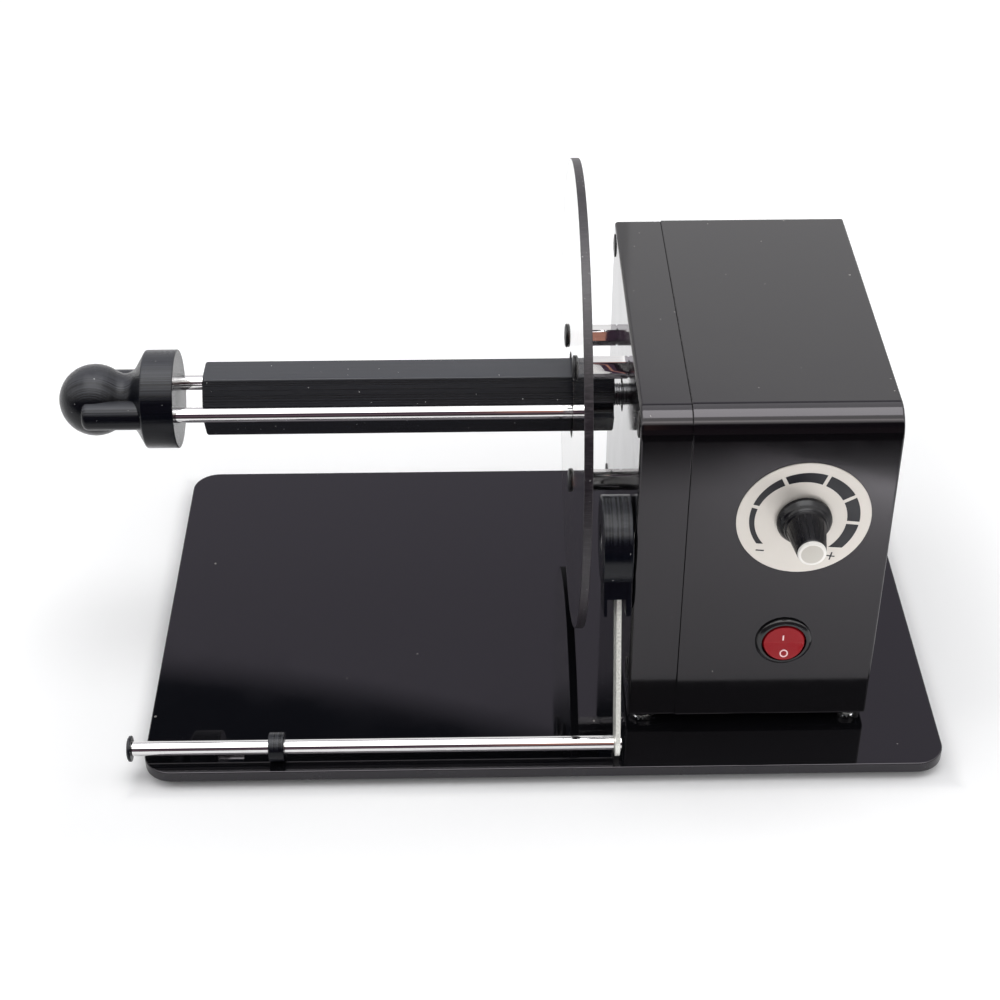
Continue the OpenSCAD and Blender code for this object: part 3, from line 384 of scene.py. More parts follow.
def noise(tree, vector, scale, detail=2.0, rough=0.5):
    """A noise texture's outputs: a grey and a colour."""
    return node(tree, "ShaderNodeTexNoise", {"Vector": vector, "Scale": scale, "Detail": detail,
                                             "Roughness": rough}).outputs


def effect(name, inputs, outputs):
    """An empty node group with a vector and these inputs and outputs. Gives its tree and both ends."""
    tree = bpy.data.node_groups.new(name, "ShaderNodeTree")
    tree.interface.new_socket("Vector", in_out="INPUT", socket_type="NodeSocketVector")
    for label, value in inputs.items():
        socket = tree.interface.new_socket(label, in_out="INPUT", socket_type="NodeSocketFloat")
        socket.default_value = value
    for label in outputs:
        tree.interface.new_socket(label, in_out="OUTPUT", socket_type="NodeSocketFloat")
    return tree, tree.nodes.new("NodeGroupInput").outputs, tree.nodes.new("NodeGroupOutput").inputs


def fine_grain_effect():
    """Moulded or sprayed grain: a height and a slow change for roughness."""
    tree, given, out = effect("fine_grain", {"Scale": 3000.0, "Patches": 40.0}, ["Height", "Patch"])
    fine = noise(tree, given["Vector"], given["Scale"], 3.0, 0.6)
    slow = noise(tree, given["Vector"], given["Patches"], 4.0, 0.55)
    tree.links.new(fine[0], out["Height"])
    tree.links.new(between(tree, slow[0], 0.3, 0.7), out["Patch"])


def dust_effect():
    """Sparse specks, each with its own size: dust, and painted glints on the disc's rim."""
    tree, given, out = effect("dust", {"Scale": 260.0, "Amount": 0.25}, ["Mask"])
    wobble = noise(tree, given["Vector"], 1800.0)
    moved = node(tree, "ShaderNodeVectorMath", {0: wobble[1], 1: (0.0006,) * 3}, operation="MULTIPLY")
    place = node(tree, "ShaderNodeVectorMath", {0: given["Vector"], 1: moved.outputs[0]}, operation="ADD")
    cells = node(tree, "ShaderNodeTexVoronoi", {"Vector": place.outputs[0], "Scale": given["Scale"]})
    parts = node(tree, "ShaderNodeSeparateColor", {0: cells.outputs["Color"]})
    chosen = maths(tree, "LESS_THAN", parts.outputs[0], given["Amount"])
    radius = maths(tree, "MULTIPLY", parts.outputs[1], 0.16)
    speck = maths(tree, "LESS_THAN", cells.outputs["Distance"], radius)
    tree.links.new(maths(tree, "MULTIPLY", chosen, speck), out["Mask"])


def print_layers_effect():
    """Layers of a printed part, stacked along the position that is put in, in metres."""
    tree, given, out = effect("print_layers", {"Position": 0.0, "Layer": 0.0003}, ["Height", "Uneven"])
    sway = maths(tree, "MULTIPLY", noise(tree, given["Vector"], 90.0)[0], 0.00012)
    step = maths(tree, "DIVIDE", maths(tree, "ADD", given["Position"], sway), given["Layer"])
    wave = maths(tree, "ABSOLUTE", maths(tree, "SINE", maths(tree, "MULTIPLY", step, pi)))
    each = node(tree, "ShaderNodeTexWhiteNoise", {"W": maths(tree, "FLOOR", step)}, noise_dimensions="1D")
    blobs = maths(tree, "MULTIPLY", noise(tree, given["Vector"], 1500.0)[0], 0.8)
    tree.links.new(maths(tree, "ADD", wave, blobs), out["Height"])
    tree.links.new(each.outputs[0], out["Uneven"])


def strokes_effect():
    """Fine strokes along one direction, from a vector that is squeezed along it."""
    tree, given, out = effect("strokes", {"Scale": 2500.0}, ["Height", "Shade"])
    lines = noise(tree, given["Vector"], given["Scale"], 5.0, 0.7)
    tree.links.new(lines[0], out["Height"])
    tree.links.new(between(tree, lines[0], 0.3, 0.7), out["Shade"])


class Finish:
    """A material under construction: its tree, its Principled node and its place input."""

    def __init__(self, name, base, rough, metallic=0.0, **sockets):
        self.material = bpy.data.materials.new(name)
        self.material.use_nodes = True
        self.material.diffuse_color = (*base, 1)
        self.tree = self.material.node_tree
        self.shader = self.tree.nodes["Principled BSDF"]
        self.base = base
        for key, value in {"Base Color": (*base, 1), "Roughness": rough, "Metallic": metallic,
                           **sockets}.items():
            self.shader.inputs[key].default_value = value
        self.place = node(self.tree, "ShaderNodeTexCoord").outputs["Object"]
        self.height = None

    def link(self, value, socket):
        self.tree.links.new(value, self.shader.inputs[socket])

    def shade(self, mask, other):
        """Mixes another colour in where the mask is."""
        socket = self.shader.inputs["Base Color"]
        start = socket.links[0].from_socket if socket.is_linked else (*self.base, 1)
        self.link(mixed(self.tree, mask, start, (*other, 1)), "Base Color")

    def roughen(self, mask, low, high):
        self.link(between(self.tree, mask, 0.0, 1.0, low, high), "Roughness")

    def bump(self, height, distance):
        """Adds a bump of that height in metres over the bumps so far."""
        made = node(self.tree, "ShaderNodeBump", {"Height": height, "Distance": distance})
        if self.height is not None:
            self.tree.links.new(self.height, made.inputs["Normal"])
        self.height = made.outputs[0]
        self.link(self.height, "Normal")

    def squeezed(self, scale):
        return node(self.tree, "ShaderNodeMapping", {"Vector": self.place, "Scale": scale}).outputs[0]

    def effect(self, name, **inputs):
        """The outputs of one of the effects, at the surface's place unless told otherwise."""
        return node(self.tree, "ShaderNodeGroup", {"Vector": self.place, **inputs},
                    node_tree=bpy.data.node_groups[name]).outputs

    def specks(self, scale, amount):
        """A mask of specks on that share of the cells: dust, and painted glints on the disc's rim."""
        return self.effect("dust", Scale=scale, Amount=amount)["Mask"]

    def level(self):
        """How far the surface faces up or down, from 0 to 1."""
        geometry = node(self.tree, "ShaderNodeNewGeometry")
        parts = node(self.tree, "ShaderNodeSeparateXYZ", {0: geometry.outputs["True Normal"]})
        return maths(self.tree, "ABSOLUTE", parts.outputs[2])


def moulded(name, base, low, high, scale=3000.0, bump=0.00001, dust=0.0, specks=260.0, sockets=None):
    """Plastic with fine grain, uneven gloss and a little dust."""
    finish = Finish(name, base, low, **(sockets or {}))
    grain = finish.effect("fine_grain", Scale=scale)
    finish.roughen(grain["Patch"], low, high)
    if bump:
        finish.bump(grain["Height"], bump)
    if dust:
        finish.shade(finish.specks(specks, dust), (0.22, 0.21, 0.2))
    return finish


def printed(name, direction, top=0.0):
    """Black printed plastic layered along a direction, with painted highlights on level faces and painted
    sheen.
    """
    finish = Finish(name, tuple(colours().print_black), 0.5, **{"Specular IOR Level": 0.22})
    tree = finish.tree
    along = node(tree, "ShaderNodeVectorMath", {0: finish.place, 1: direction}, operation="DOT_PRODUCT")
    layers = finish.effect("print_layers", Position=along.outputs["Value"], Layer=sizes().layer)
    grain = finish.effect("fine_grain", Scale=2600.0)
    level = finish.level()
    finish.shade(maths(tree, "MULTIPLY", layers["Uneven"], 0.4), (0.005, 0.006, 0.010))
    # painted highlight: level faces turn paler, as lit faces would; top sets its strength
    finish.shade(between(tree, level, 0.75, 0.97, 0.0, top), (0.06, 0.062, 0.072))
    finish.roughen(grain["Patch"], 0.14, 0.25)
    # painted sheen: pale streaks along the layers on sloping faces, where highlights would run
    painted_sheen = between(tree, level, 0.45, 0.8, 0.0, 0.9)
    finish.shade(maths(tree, "MULTIPLY", layers["Uneven"], painted_sheen), (0.05, 0.052, 0.062))
    finish.bump(layers["Height"], 0.00002)
    finish.bump(grain["Height"], 0.00004)
    finish.shade(finish.specks(620.0, 0.10), (0.5, 0.5, 0.5))
    return finish


def steel(name, base, low, high, squeeze, scale=2500.0, bump=0.000004, metallic=1.0):
    """Metal with fine strokes across the squeezed directions."""
    finish = Finish(name, base, low, metallic)
    strokes = finish.effect("strokes", Vector=finish.squeezed(squeeze), Scale=scale)
    finish.roughen(strokes["Shade"], low, high)
    finish.shade(maths(finish.tree, "MULTIPLY", strokes["Shade"], 0.35), tuple(v * 0.72 for v in base))
    if bump:
        finish.bump(strokes["Height"], bump)
    return finish


def clear(name, base, rough, haze=0.0):
    """Clear plastic that lets lamp light through, so that it throws no heavy shadow."""
    finish = Finish(name, base, rough, **{"Transmission Weight": 1.0, "IOR": 1.49})
    shader, tree = finish.shader, finish.tree
    path = node(tree, "ShaderNodeLightPath")
    film = node(tree, "ShaderNodeBsdfTransparent", {"Color": (0.9, 0.91, 0.91, 1)})
    height = node(tree, "ShaderNodeSeparateXYZ", {0: finish.place}).outputs[2]
    low = between(tree, height, 0.115, 0.08, 0.0, haze)
    dull = node(tree, "ShaderNodeBsdfDiffuse", {"Color": (0.50, 0.46, 0.38, 1)})
    dusty = node(tree, "ShaderNodeMixShader", {
        0: maths(tree, "MULTIPLY", finish.specks(1500.0, 0.8), low), 1: shader.outputs[0], 2: dull.outputs[0]})
    mix = node(tree, "ShaderNodeMixShader", {0: path.outputs["Is Shadow Ray"], 1: dusty.outputs[0],
                                             2: film.outputs[0]})
    tree.links.new(mix.outputs[0], tree.nodes["Material Output"].inputs[0])
    return finish


MATERIALS = {}
MOULDED = {
    # finish: material, colour or its setting, lowest and highest roughness, grain, bump, dust, specks, sockets
    "plate": ("plate_gloss_black", "plate", 0.02, 0.05, 1800.0, 0.0, 0.05, 200.0,
              {"Specular Tint": (1.0, 0.95, 1.03, 1)}),
    "case": ("case_gloss_black", "case", 0.08, 0.11, 2600.0, 0.000003, 0.05, 330.0,
             {"Specular Tint": (1.0, 0.95, 1.01, 1)}),
    "bore": ("disc_bore_frosted", (0.12, 0.10, 0.09), 0.35, 0.5, 2200.0, 0.00003),
    "inside_black": ("inside_black", (0.012, 0.012, 0.013), 0.4, 0.55),
    "black_steel": ("screw_black", (0.012, 0.012, 0.013), 0.28, 0.4, 4000.0, 0.00001, 0.0, 260.0,
                    {"Metallic": 0.4}),
    "rubber": ("foot_rubber", (0.012, 0.012, 0.012), 0.6, 0.75, 2200.0, 0.00003, 0.1),
    "magnet": ("magnet", (0.06, 0.06, 0.065), 0.5, 0.7, 1800.0, 0.00003),
    "dial": ("dial_white", "dial", 0.34, 0.46, 2600.0, 0.000005, 0.03, 300.0),
    "marks": ("dial_marks", "marks", 0.35, 0.5, 3000.0, 0.000004),
    "knob": ("knob_black", (0.003, 0.003, 0.005), 0.24, 0.34, 2800.0, 0.000006, 0.02, 380.0,
             {"Specular IOR Level": 0.3}),
    "cap": ("cap_white", "cap", 0.4, 0.5, 2600.0, 0.00001, 0.03, 380.0),
    # a darker copy of the cap's white for its front face: painted shade
    "cap_grey": ("cap_grey", (0.50, 0.475, 0.435), 0.45, 0.55, 2600.0, 0.00001),
    "bezel": ("bezel_black", (0.008, 0.008, 0.009), 0.14, 0.22, 3000.0, 0.000004, 0.03, 500.0),
    "rocker": ("rocker_red", "rocker", 0.12, 0.2, 3000.0, 0.0, 0.0, 260.0, {"Specular IOR Level": 0.25}),
    "switch_marks": ("switch_marks", (0.75, 0.55, 0.55), 0.3, 0.4, 3000.0, 0.0),
    "board": ("board_green", (0.03, 0.16, 0.07), 0.25, 0.4, 1500.0, 0.00002),
    "terminal": ("terminal_green", (0.08, 0.36, 0.18), 0.35, 0.5),
    "sleeve": ("can_sleeve", (0.04, 0.05, 0.16), 0.2, 0.35),
    "wire": ("wire_red", (0.4, 0.03, 0.03), 0.35, 0.5),
}
STEEL = {
    # finish: material, colour, lowest and highest roughness, squeeze, strokes, bump, metallic
    "chrome": ("rod_chrome", (0.80, 0.79, 0.79), 0.03, 0.09, (0.02, 1, 1), 2500.0, 0.0),
    "zinc": ("strip_zinc", (0.82, 0.82, 0.77), 0.2, 0.36, (1, 1, 0.03), 3200.0, 0.00001, 0.3),
    "turned_steel": ("turned_steel", (0.6, 0.6, 0.61), 0.14, 0.3, (1, 0.05, 0.05)),
    "dark_steel": ("thread_dark_steel", (0.24, 0.24, 0.25), 0.2, 0.36, (1, 0.05, 0.05)),
    "bearing": ("bearing_steel", (0.7, 0.7, 0.71), 0.08, 0.18, (1, 0.05, 0.05)),
    "aluminium": ("aluminium", (0.66, 0.67, 0.68), 0.25, 0.42, (1, 0.1, 0.1)),
    "brass": ("gear_brass", (0.72, 0.56, 0.26), 0.22, 0.38, (0.1, 1, 1)),
    "bronze": ("bush_bronze", (0.55, 0.36, 0.18), 0.3, 0.5, (1, 0.1, 0.1)),
    "copper": ("rotor_copper", (0.6, 0.32, 0.16), 0.3, 0.5, (0.03, 1, 1), 1200.0, 0.00004),
}


def make_materials():
    fine_grain_effect()
    dust_effect()
    print_layers_effect()
    strokes_effect()
    tint = colours()
    finishes = {
        # the last number sets the painted highlight on level faces
        "core": printed("core_printed_black", (0.0, -sin(CORE_TURN), cos(CORE_TURN)), 0.9),
        "handle": printed("handle_printed_black", (0.0, 1.0, 0.0), 0.6),
        "hub": printed("hub_printed_black", (1.0, 0.0, 0.0)),
        "clear_plastic": clear("washer_clear", (0.93, 0.95, 0.96), 0.12),
        "disc": clear("disc_clear", (0.955, 0.945, 0.93), 0.0, 0.7),
        # near-black rim: painted shade, for the edge that looks dark through the clear disc; its saw strokes
        # are its own
        "rim": Finish("disc_sawn_rim", (0.008, 0.006, 0.009), 0.36),
    }
    for key, (name, base, *rest) in MOULDED.items():
        base = tuple(getattr(tint, base)) if isinstance(base, str) else base
        finishes[key] = moulded(name, base, *rest)
    for key, row in STEEL.items():
        finishes[key] = steel(*row)

    plate, disc, rim, bore = (finishes[key] for key in ("plate", "disc", "rim", "bore"))
    sawn = between(plate.tree, plate.level(), 0.4, 0.8, 1.0, 0.0)
    plate.shade(maths(plate.tree, "MULTIPLY", sawn, plate.specks(900.0, 0.5)), (0.12, 0.12, 0.13))
    gloss = between(plate.tree, plate.effect("fine_grain")["Patch"], 0, 1, 0.02, 0.05)
    plate.link(maths(plate.tree, "ADD", maths(plate.tree, "MULTIPLY", sawn, 0.25), gloss), "Roughness")

    disc.roughen(disc.effect("fine_grain", Patches=60.0)["Patch"], 0.0, 0.03)
    saw = rim.effect("strokes", Vector=rim.squeezed((0.12, 1, 1)), Scale=1500.0)
    rim.shade(maths(rim.tree, "POWER", saw["Shade"], 3.0), (0.045, 0.036, 0.044))
    # painted glints: pale specks over the sawn rim
    rim.shade(rim.specks(500.0, 0.55), (0.30, 0.29, 0.29))
    rim.bump(saw["Height"], 0.00008)
    rim.roughen(saw["Shade"], 0.3, 0.5)
    bore.shade(bore.specks(700.0, 0.7), (0.55, 0.52, 0.46))
    MATERIALS.update({key: finish.material for key, finish in finishes.items()})


# ---------------------------------------------------------------- the pieces
class REWINDER_OT_base_plate(bpy.types.Operator):
    """Cut the gloss base plate with round corners, broken edges and countersunk holes"""
    bl_idname = "rewinder.base_plate"
    bl_label = "Base plate"

    def execute(self, context):
        plate = block("base_plate_finished", BASE_LO, BASE_HI)
        corner = 12
        bevel_edges(plate, corner, 16, lambda a, b: abs(a.z - b.z) > 1)
        head, hole = 5.65, 2.15
        sink = [(BASE_LO.z - 0.5, head), (BASE_LO.z + 2.2, hole), (BASE_HI.z + 1, hole)]
        cut(plate, joined("holes", *[turned("hole", "Z", (x, y, 0), sink, 48) for x, y in screw_corners()]))
        soften(plate, sizes().plate_edge, 3, 40)
        finished(plate, "plate", "case", "gloss_black", "base_plate")
        return {"FINISHED"}


def screw_corners():
    """Places of the four upright screws between plate and case."""
    low, high = span("base_screws")
    half = 4.0
    return [(x, y) for y in (low.y + half, high.y - half) for x in (low.x + half, high.x - half)]


class REWINDER_OT_feet(bpy.types.Operator):
    """Mould the rubber feet and the clear spacers under the case"""
    bl_idname = "rewinder.feet"
    bl_label = "Feet and spacers"

    def execute(self, context):
        low, high = span("rubber_feet")
        r = 6.0
        foot = turned("foot", "Z", (low.x + r, low.y + r, 0), [
            (0.9, 2.2), (0.5, 2.9), (0.0, 3.5), (0.0, 4.6), (0.25, 5.15), (1.0, 5.7), (2.6, r), (3.0, r)], 64)
        wide, deep = high.x - low.x - 2 * r, high.y - low.y - 2 * r
        feet = [foot] + [copy_of(foot, by) for by in ((wide, 0, 0), (0, deep, 0), (wide, deep, 0))]
        feet = smooth(joined("rubber_feet_finished", *feet))
        finished(feet, "rubber", "case", "black_rubber", "rubber_feet")
        low, high = span("case_spacers")
        (x, y), *others = screw_corners()
        bore = 2.3
        ring = turned("spacer", "Z", (x, y, 0), [
            (low.z, bore), *chamfered(low.z, high.z, r, 0.3), (high.z, bore)], 64, closed=True)
        rings = [ring] + [copy_of(ring, (u - x, v - y, 0)) for u, v in others]
        rings = smooth(joined("case_spacers_finished", *rings))
        finished(rings, "clear_plastic", "case", "clear_washer", "case_spacers")
        return {"FINISHED"}


class REWINDER_OT_case(bpy.types.Operator):
    """Refine both shells of the case: rounded outer ends and a fine groove at their seam"""
    bl_idname = "rewinder.case"
    bl_label = "Case shells"

    def execute(self, context):
        seam = sizes().case_edge / MM
        for node_name, ends in (("case_left_shell", ((CASE_LO.x, 1.4), (SEAM, seam))),
                                ("case_right_shell", ((SEAM, seam), (CASE_HI.x, 1.0)))):
            shell = cad_copy(node_name, node_name + "_finished")
            low, high = span(node_name)
            for x, width in ends:  # the two rims of a shell, with the rounding of each in millimetres
                bevel_edges(shell, width, 4, lambda a, b: (
                    abs(a.x - x) < 0.01 and abs(b.x - x) < 0.01
                    and on_outline(a, low, high) and on_outline(b, low, high)))
            smooth(shell, 30)
            finished(shell, "case", "case", "satin_black", node_name)
        return {"FINISHED"}


def on_outline(p, low, high):
    """True on the case's outer outline: its four walls or the rounds between them."""
    edges = (p.y - low.y, high.y - p.y, p.z - low.z, high.z - p.z)
    if min(edges) < 0.02:
        return True
    for r, dy, dz in ((11.0, edges[0], edges[3]), (2.5, edges[1], edges[3]),
                      (2.5, edges[0], edges[2]), (2.5, edges[1], edges[2])):
        for radius in (r, r - 0.4):
            past = sqrt((radius - dy) ** 2 + (radius - dz) ** 2) - radius
            if dy < radius and dz < radius and abs(past) < 0.03:
                return True
    return False


def pan_screw(y, z, x, head_d, head_t, d, long):
    """A pan-head screw driven along +X, its head outside x, with a cross recess and a thread."""
    r, shank, pitch, depth = head_d / 2, d / 2, 0.7, 0.28
    dome = [(x - head_t * f, r * s) for f, s in (
        (1.0, 0.25), (0.985, 0.5), (0.93, 0.7), (0.82, 0.86), (0.66, 0.96), (0.5, 1.0), (0.08, 1.0),
        (0.0, 0.97))]
    thread = []
    for k in range(int((long - 1.2) / pitch)):
        start = x + 0.6 + k * pitch
        thread += [(start, shank - depth), (start + depth, shank), (start + 0.42, shank)]
    profile = dome + [(x, shank - 0.05), (x + 0.5, shank - depth)] + thread + [(x + long, shank - 0.5)]
    screw = cut(turned("screw", "X", (0, y, z), profile, 48),
                *cross(x - head_t - 1, x - head_t * 0.4, y, z, head_d * 0.24, 0.45))
    return soften(screw, 0.00008, 1, 40)


class REWINDER_OT_screws(bpy.types.Operator):
    """Turn the black pan-head screws of the case and the guide disc"""
    bl_idname = "rewinder.screws"
    bl_label = "Outer screws"

    def execute(self, context):
        low, high = span("case_screws")
        ys, zs = (low.y + 5, high.y - 5), (low.z + 5, high.z - 5)
        corners = [(0, y, z) for y in ys for z in zs]
        # size: where the head sits, its diameter and height, the thread's diameter and length
        for node_name, places, size in (("case_screws", corners, (CASE_LO.x, 10, 0.6, 4, 34)),
                                        ("disc_screws", standoff_places(), (DISC_LO.x, 10.2, 1.3, 4, 10.5))):
            (_, y, z), *others = places
            first = pan_screw(y, z, *size)
            copies = [copy_of(first, (0, b - y, c - z)) for _, b, c in others]
            screws = joined(node_name + "_finished", first, *copies)
            finished(screws, "black_steel", "case", "black_steel", node_name)
        return {"FINISHED"}


def standoff_places():
    return round_about([STANDOFF_TURN + 2 * pi / 3 * k for k in range(3)], SPIN, STANDOFF_R)


class REWINDER_OT_guide_disc(bpy.types.Operator):
    """Cut the clear guide disc, with a sawn rim and three screw holes"""
    bl_idname = "rewinder.guide_disc"
    bl_label = "Guide disc"

    def execute(self, context):
        r, bore, screw_hole = (DISC_HI.z - DISC_LO.z) / 2, 18.0, 2.15
        x0, x1, c = DISC_LO.x, DISC_HI.x, 0.25
        disc = turned("guide_disc_finished", "X", SPIN, [
            (x0 + c, bore), (x0, bore + c), *chamfered(x0, x1, r, c), (x1, bore + c), (x1 - c, bore)],
            256, closed=True)
        cut(disc, joined("holes", *[post("X", p, screw_hole, x0 - 1, x1 + 1, 48) for p in standoff_places()]))
        smooth(disc, 30)
        paint(disc, MATERIALS["disc"], MATERIALS["rim"], MATERIALS["bore"])
        reach = c * 0.8
        paint_faces(disc, 1, lambda p, n: (p - SPIN).yz.length > r - reach and abs(n.x) < 0.9)
        paint_faces(disc, 2, lambda p, n: (p - SPIN).yz.length < bore + reach and abs(n.x) < 0.9)
        placed(disc, "case", "clear_acrylic", "guide_disc")
        return {"FINISHED"}


class REWINDER_OT_standoffs(bpy.types.Operator):
    """Mill the three hexagonal standoffs that hold the disc off the case"""
    bl_idname = "rewinder.standoffs"
    bl_label = "Standoffs"

    def execute(self, context):
        first, *others = standoff_places()
        x0, x1, flat, bore = DISC_HI.x, CASE_LO.x, 4.0, 2.05
        corner = flat / cos(pi / 6)
        bar = post("X", first, corner, x0, x1, 6)
        limit = turned("limit", "X", first, [
            (x0 - 0.01, flat), (x0 + 0.6, corner + 0.02), (x1 - 0.6, corner + 0.02), (x1 + 0.01, flat)], 96)
        shaped(bar, "INTERSECT", limit)
        cut(bar, post("X", first, bore, x0 - 1, x1 + 1, 48))
        soften(bar, sizes().metal_edge, 2, 32)
        bars = [bar] + [copy_of(bar, (0, y - first[1], z - first[2])) for _, y, z in others]
        finished(joined("disc_standoffs_finished", *bars), "chrome", "case", "chrome_steel", "disc_standoffs")
        return {"FINISHED"}


class REWINDER_OT_core(bpy.types.Operator):
    """Print the hexagonal winding core with its rod grooves, and turn the threaded shaft in it"""
    bl_idname = "rewinder.core"
    bl_label = "Core and shaft"

    def execute(self, context):
        x0, x1 = (corner.x for corner in span("winding_core"))
        core = turned("winding_core_finished", "X", SPIN, [(x0, CORE_CORNER), (x1, CORE_CORNER)], 6)
        swing(core, "X", SPIN, -CORE_TURN)
        bevel_edges(core, 0.7, 3, lambda a, b: abs(a.x - b.x) > 1)
        limit = turned("limit", "X", SPIN, [
            (x0 - 0.01, CORE_CORNER - 0.8), (x0 + 1, CORE_CORNER + 0.2), (x1 - 1, CORE_CORNER + 0.2),
            (x1 + 0.01, CORE_CORNER - 0.8)])
        shaped(core, "INTERSECT", limit)
        play, shaft_hole, deep = 0.3, 4.8, 34
        for place in rod_places():
            cut(core, post("X", place, ROD + play, x0 - 1, x1 + 1))
        cut(core, post("X", SPIN, shaft_hole, x1 - deep, x1 + 1))
        soften(core, sizes().print_edge * 0.5, 2, 32)
        finished(core, "core", "spindle", "printed_black", "winding_core")
        crest, root = 4.75, 4.25
        profile = [(x1 - 33, crest), (x1, crest)]
        for x in (x1 + k for k in range(5)):
            profile += [(x + 0.12, crest), (x + 0.45, root), (x + 0.55, root), (x + 0.88, crest)]
        end = span("spindle_shaft")[1].x
        profile += [(x1 + 5, crest), (x1 + 5, 4.0), (end - 0.5, 4.0), (end, 3.5)]
        shaft = smooth(turned("spindle_shaft_finished", "X", SPIN, profile, 96), 30)
        finished(shaft, "dark_steel", "spindle", "black_steel", "spindle_shaft")
        return {"FINISHED"}


def rod_places():
    return round_about((-CORE_TURN, pi - CORE_TURN), SPIN, ROD_R)


class REWINDER_OT_fork(bpy.types.Operator):
    """Print the round handle of the pull-out fork and draw its two chrome rods"""
    bl_idname = "rewinder.fork"
    bl_label = "Fork"

    def execute(self, context):
        face = span("fork_handle")[1].x
        ball = 15.15
        c = face - 35.0
        profile = [(c - ball * cos(a), ball * sin(a))
                   for a in (radians(v) for v in (3, 8, 15, 23, 32, 41, 50, 60, 70, 80, 90, 100, 109, 117))]
        ends = ((8.69, 12.41), (12.0, 10.09), (15.6, 10.33), (18.2, 14.77))
        for t in (k / 10 for k in range(11)):
            weights = ((1 - t) ** 3, 3 * t * (1 - t) ** 2, 3 * t * t * (1 - t), t ** 3)
            profile.append((c + sum(w * p for w, (p, _) in zip(weights, ends)),
                            sum(w * q for w, (_, q) in zip(weights, ends))))
        profile += [(face - 13.6, 20.3), (face - 13.2, 20.65), (face - 12.8, 20.75), (face - 0.5, 20.75),
                    (face - 0.15, 20.6), (face, 20.25)]
        handle = turned("fork_handle_finished", "X", SPIN, profile, 128)
        start, r = face - 38.5, 6.0
        for place in rod_places():
            welded(handle, turned("boss", "X", place, [
                (start, r - 2.5), (start + 0.19, r - 1.54), (start + 0.73, r - 0.73), (start + 1.54, r - 0.19),
                (start + 2.5, r), (face - 12, r)], 96))
        for place in rod_places():
            cut(handle, post("X", place, ROD + 0.05, start + 3, face + 1))
        soften(handle, 0.0003, 2, 38)
        finished(handle, "handle", "fork", "printed_black", "fork_handle")
        low, high = span("fork_rods")
        (_, y, z), (_, y2, z2) = rod_places()
        rod = turned("rod", "X", (0, y, z), [
            (low.x, ROD - 0.4), (low.x + 0.4, ROD), (high.x - 0.6, ROD), (high.x - 0.25, ROD - 0.15),
            (high.x, ROD - 0.6)], 96)
        rods = joined("fork_rods_finished", smooth(rod), copy_of(rod, (0, y2 - y, z2 - z)))
        finished(rods, "chrome", "fork", "chrome_steel", "fork_rods")
        return {"FINISHED"}


def lean(piece):
    """Leans a piece of the arm, modelled hanging straight down, forward to its place at rest."""
    return swing(piece, "X", PIVOT, -ARM_LEAN)


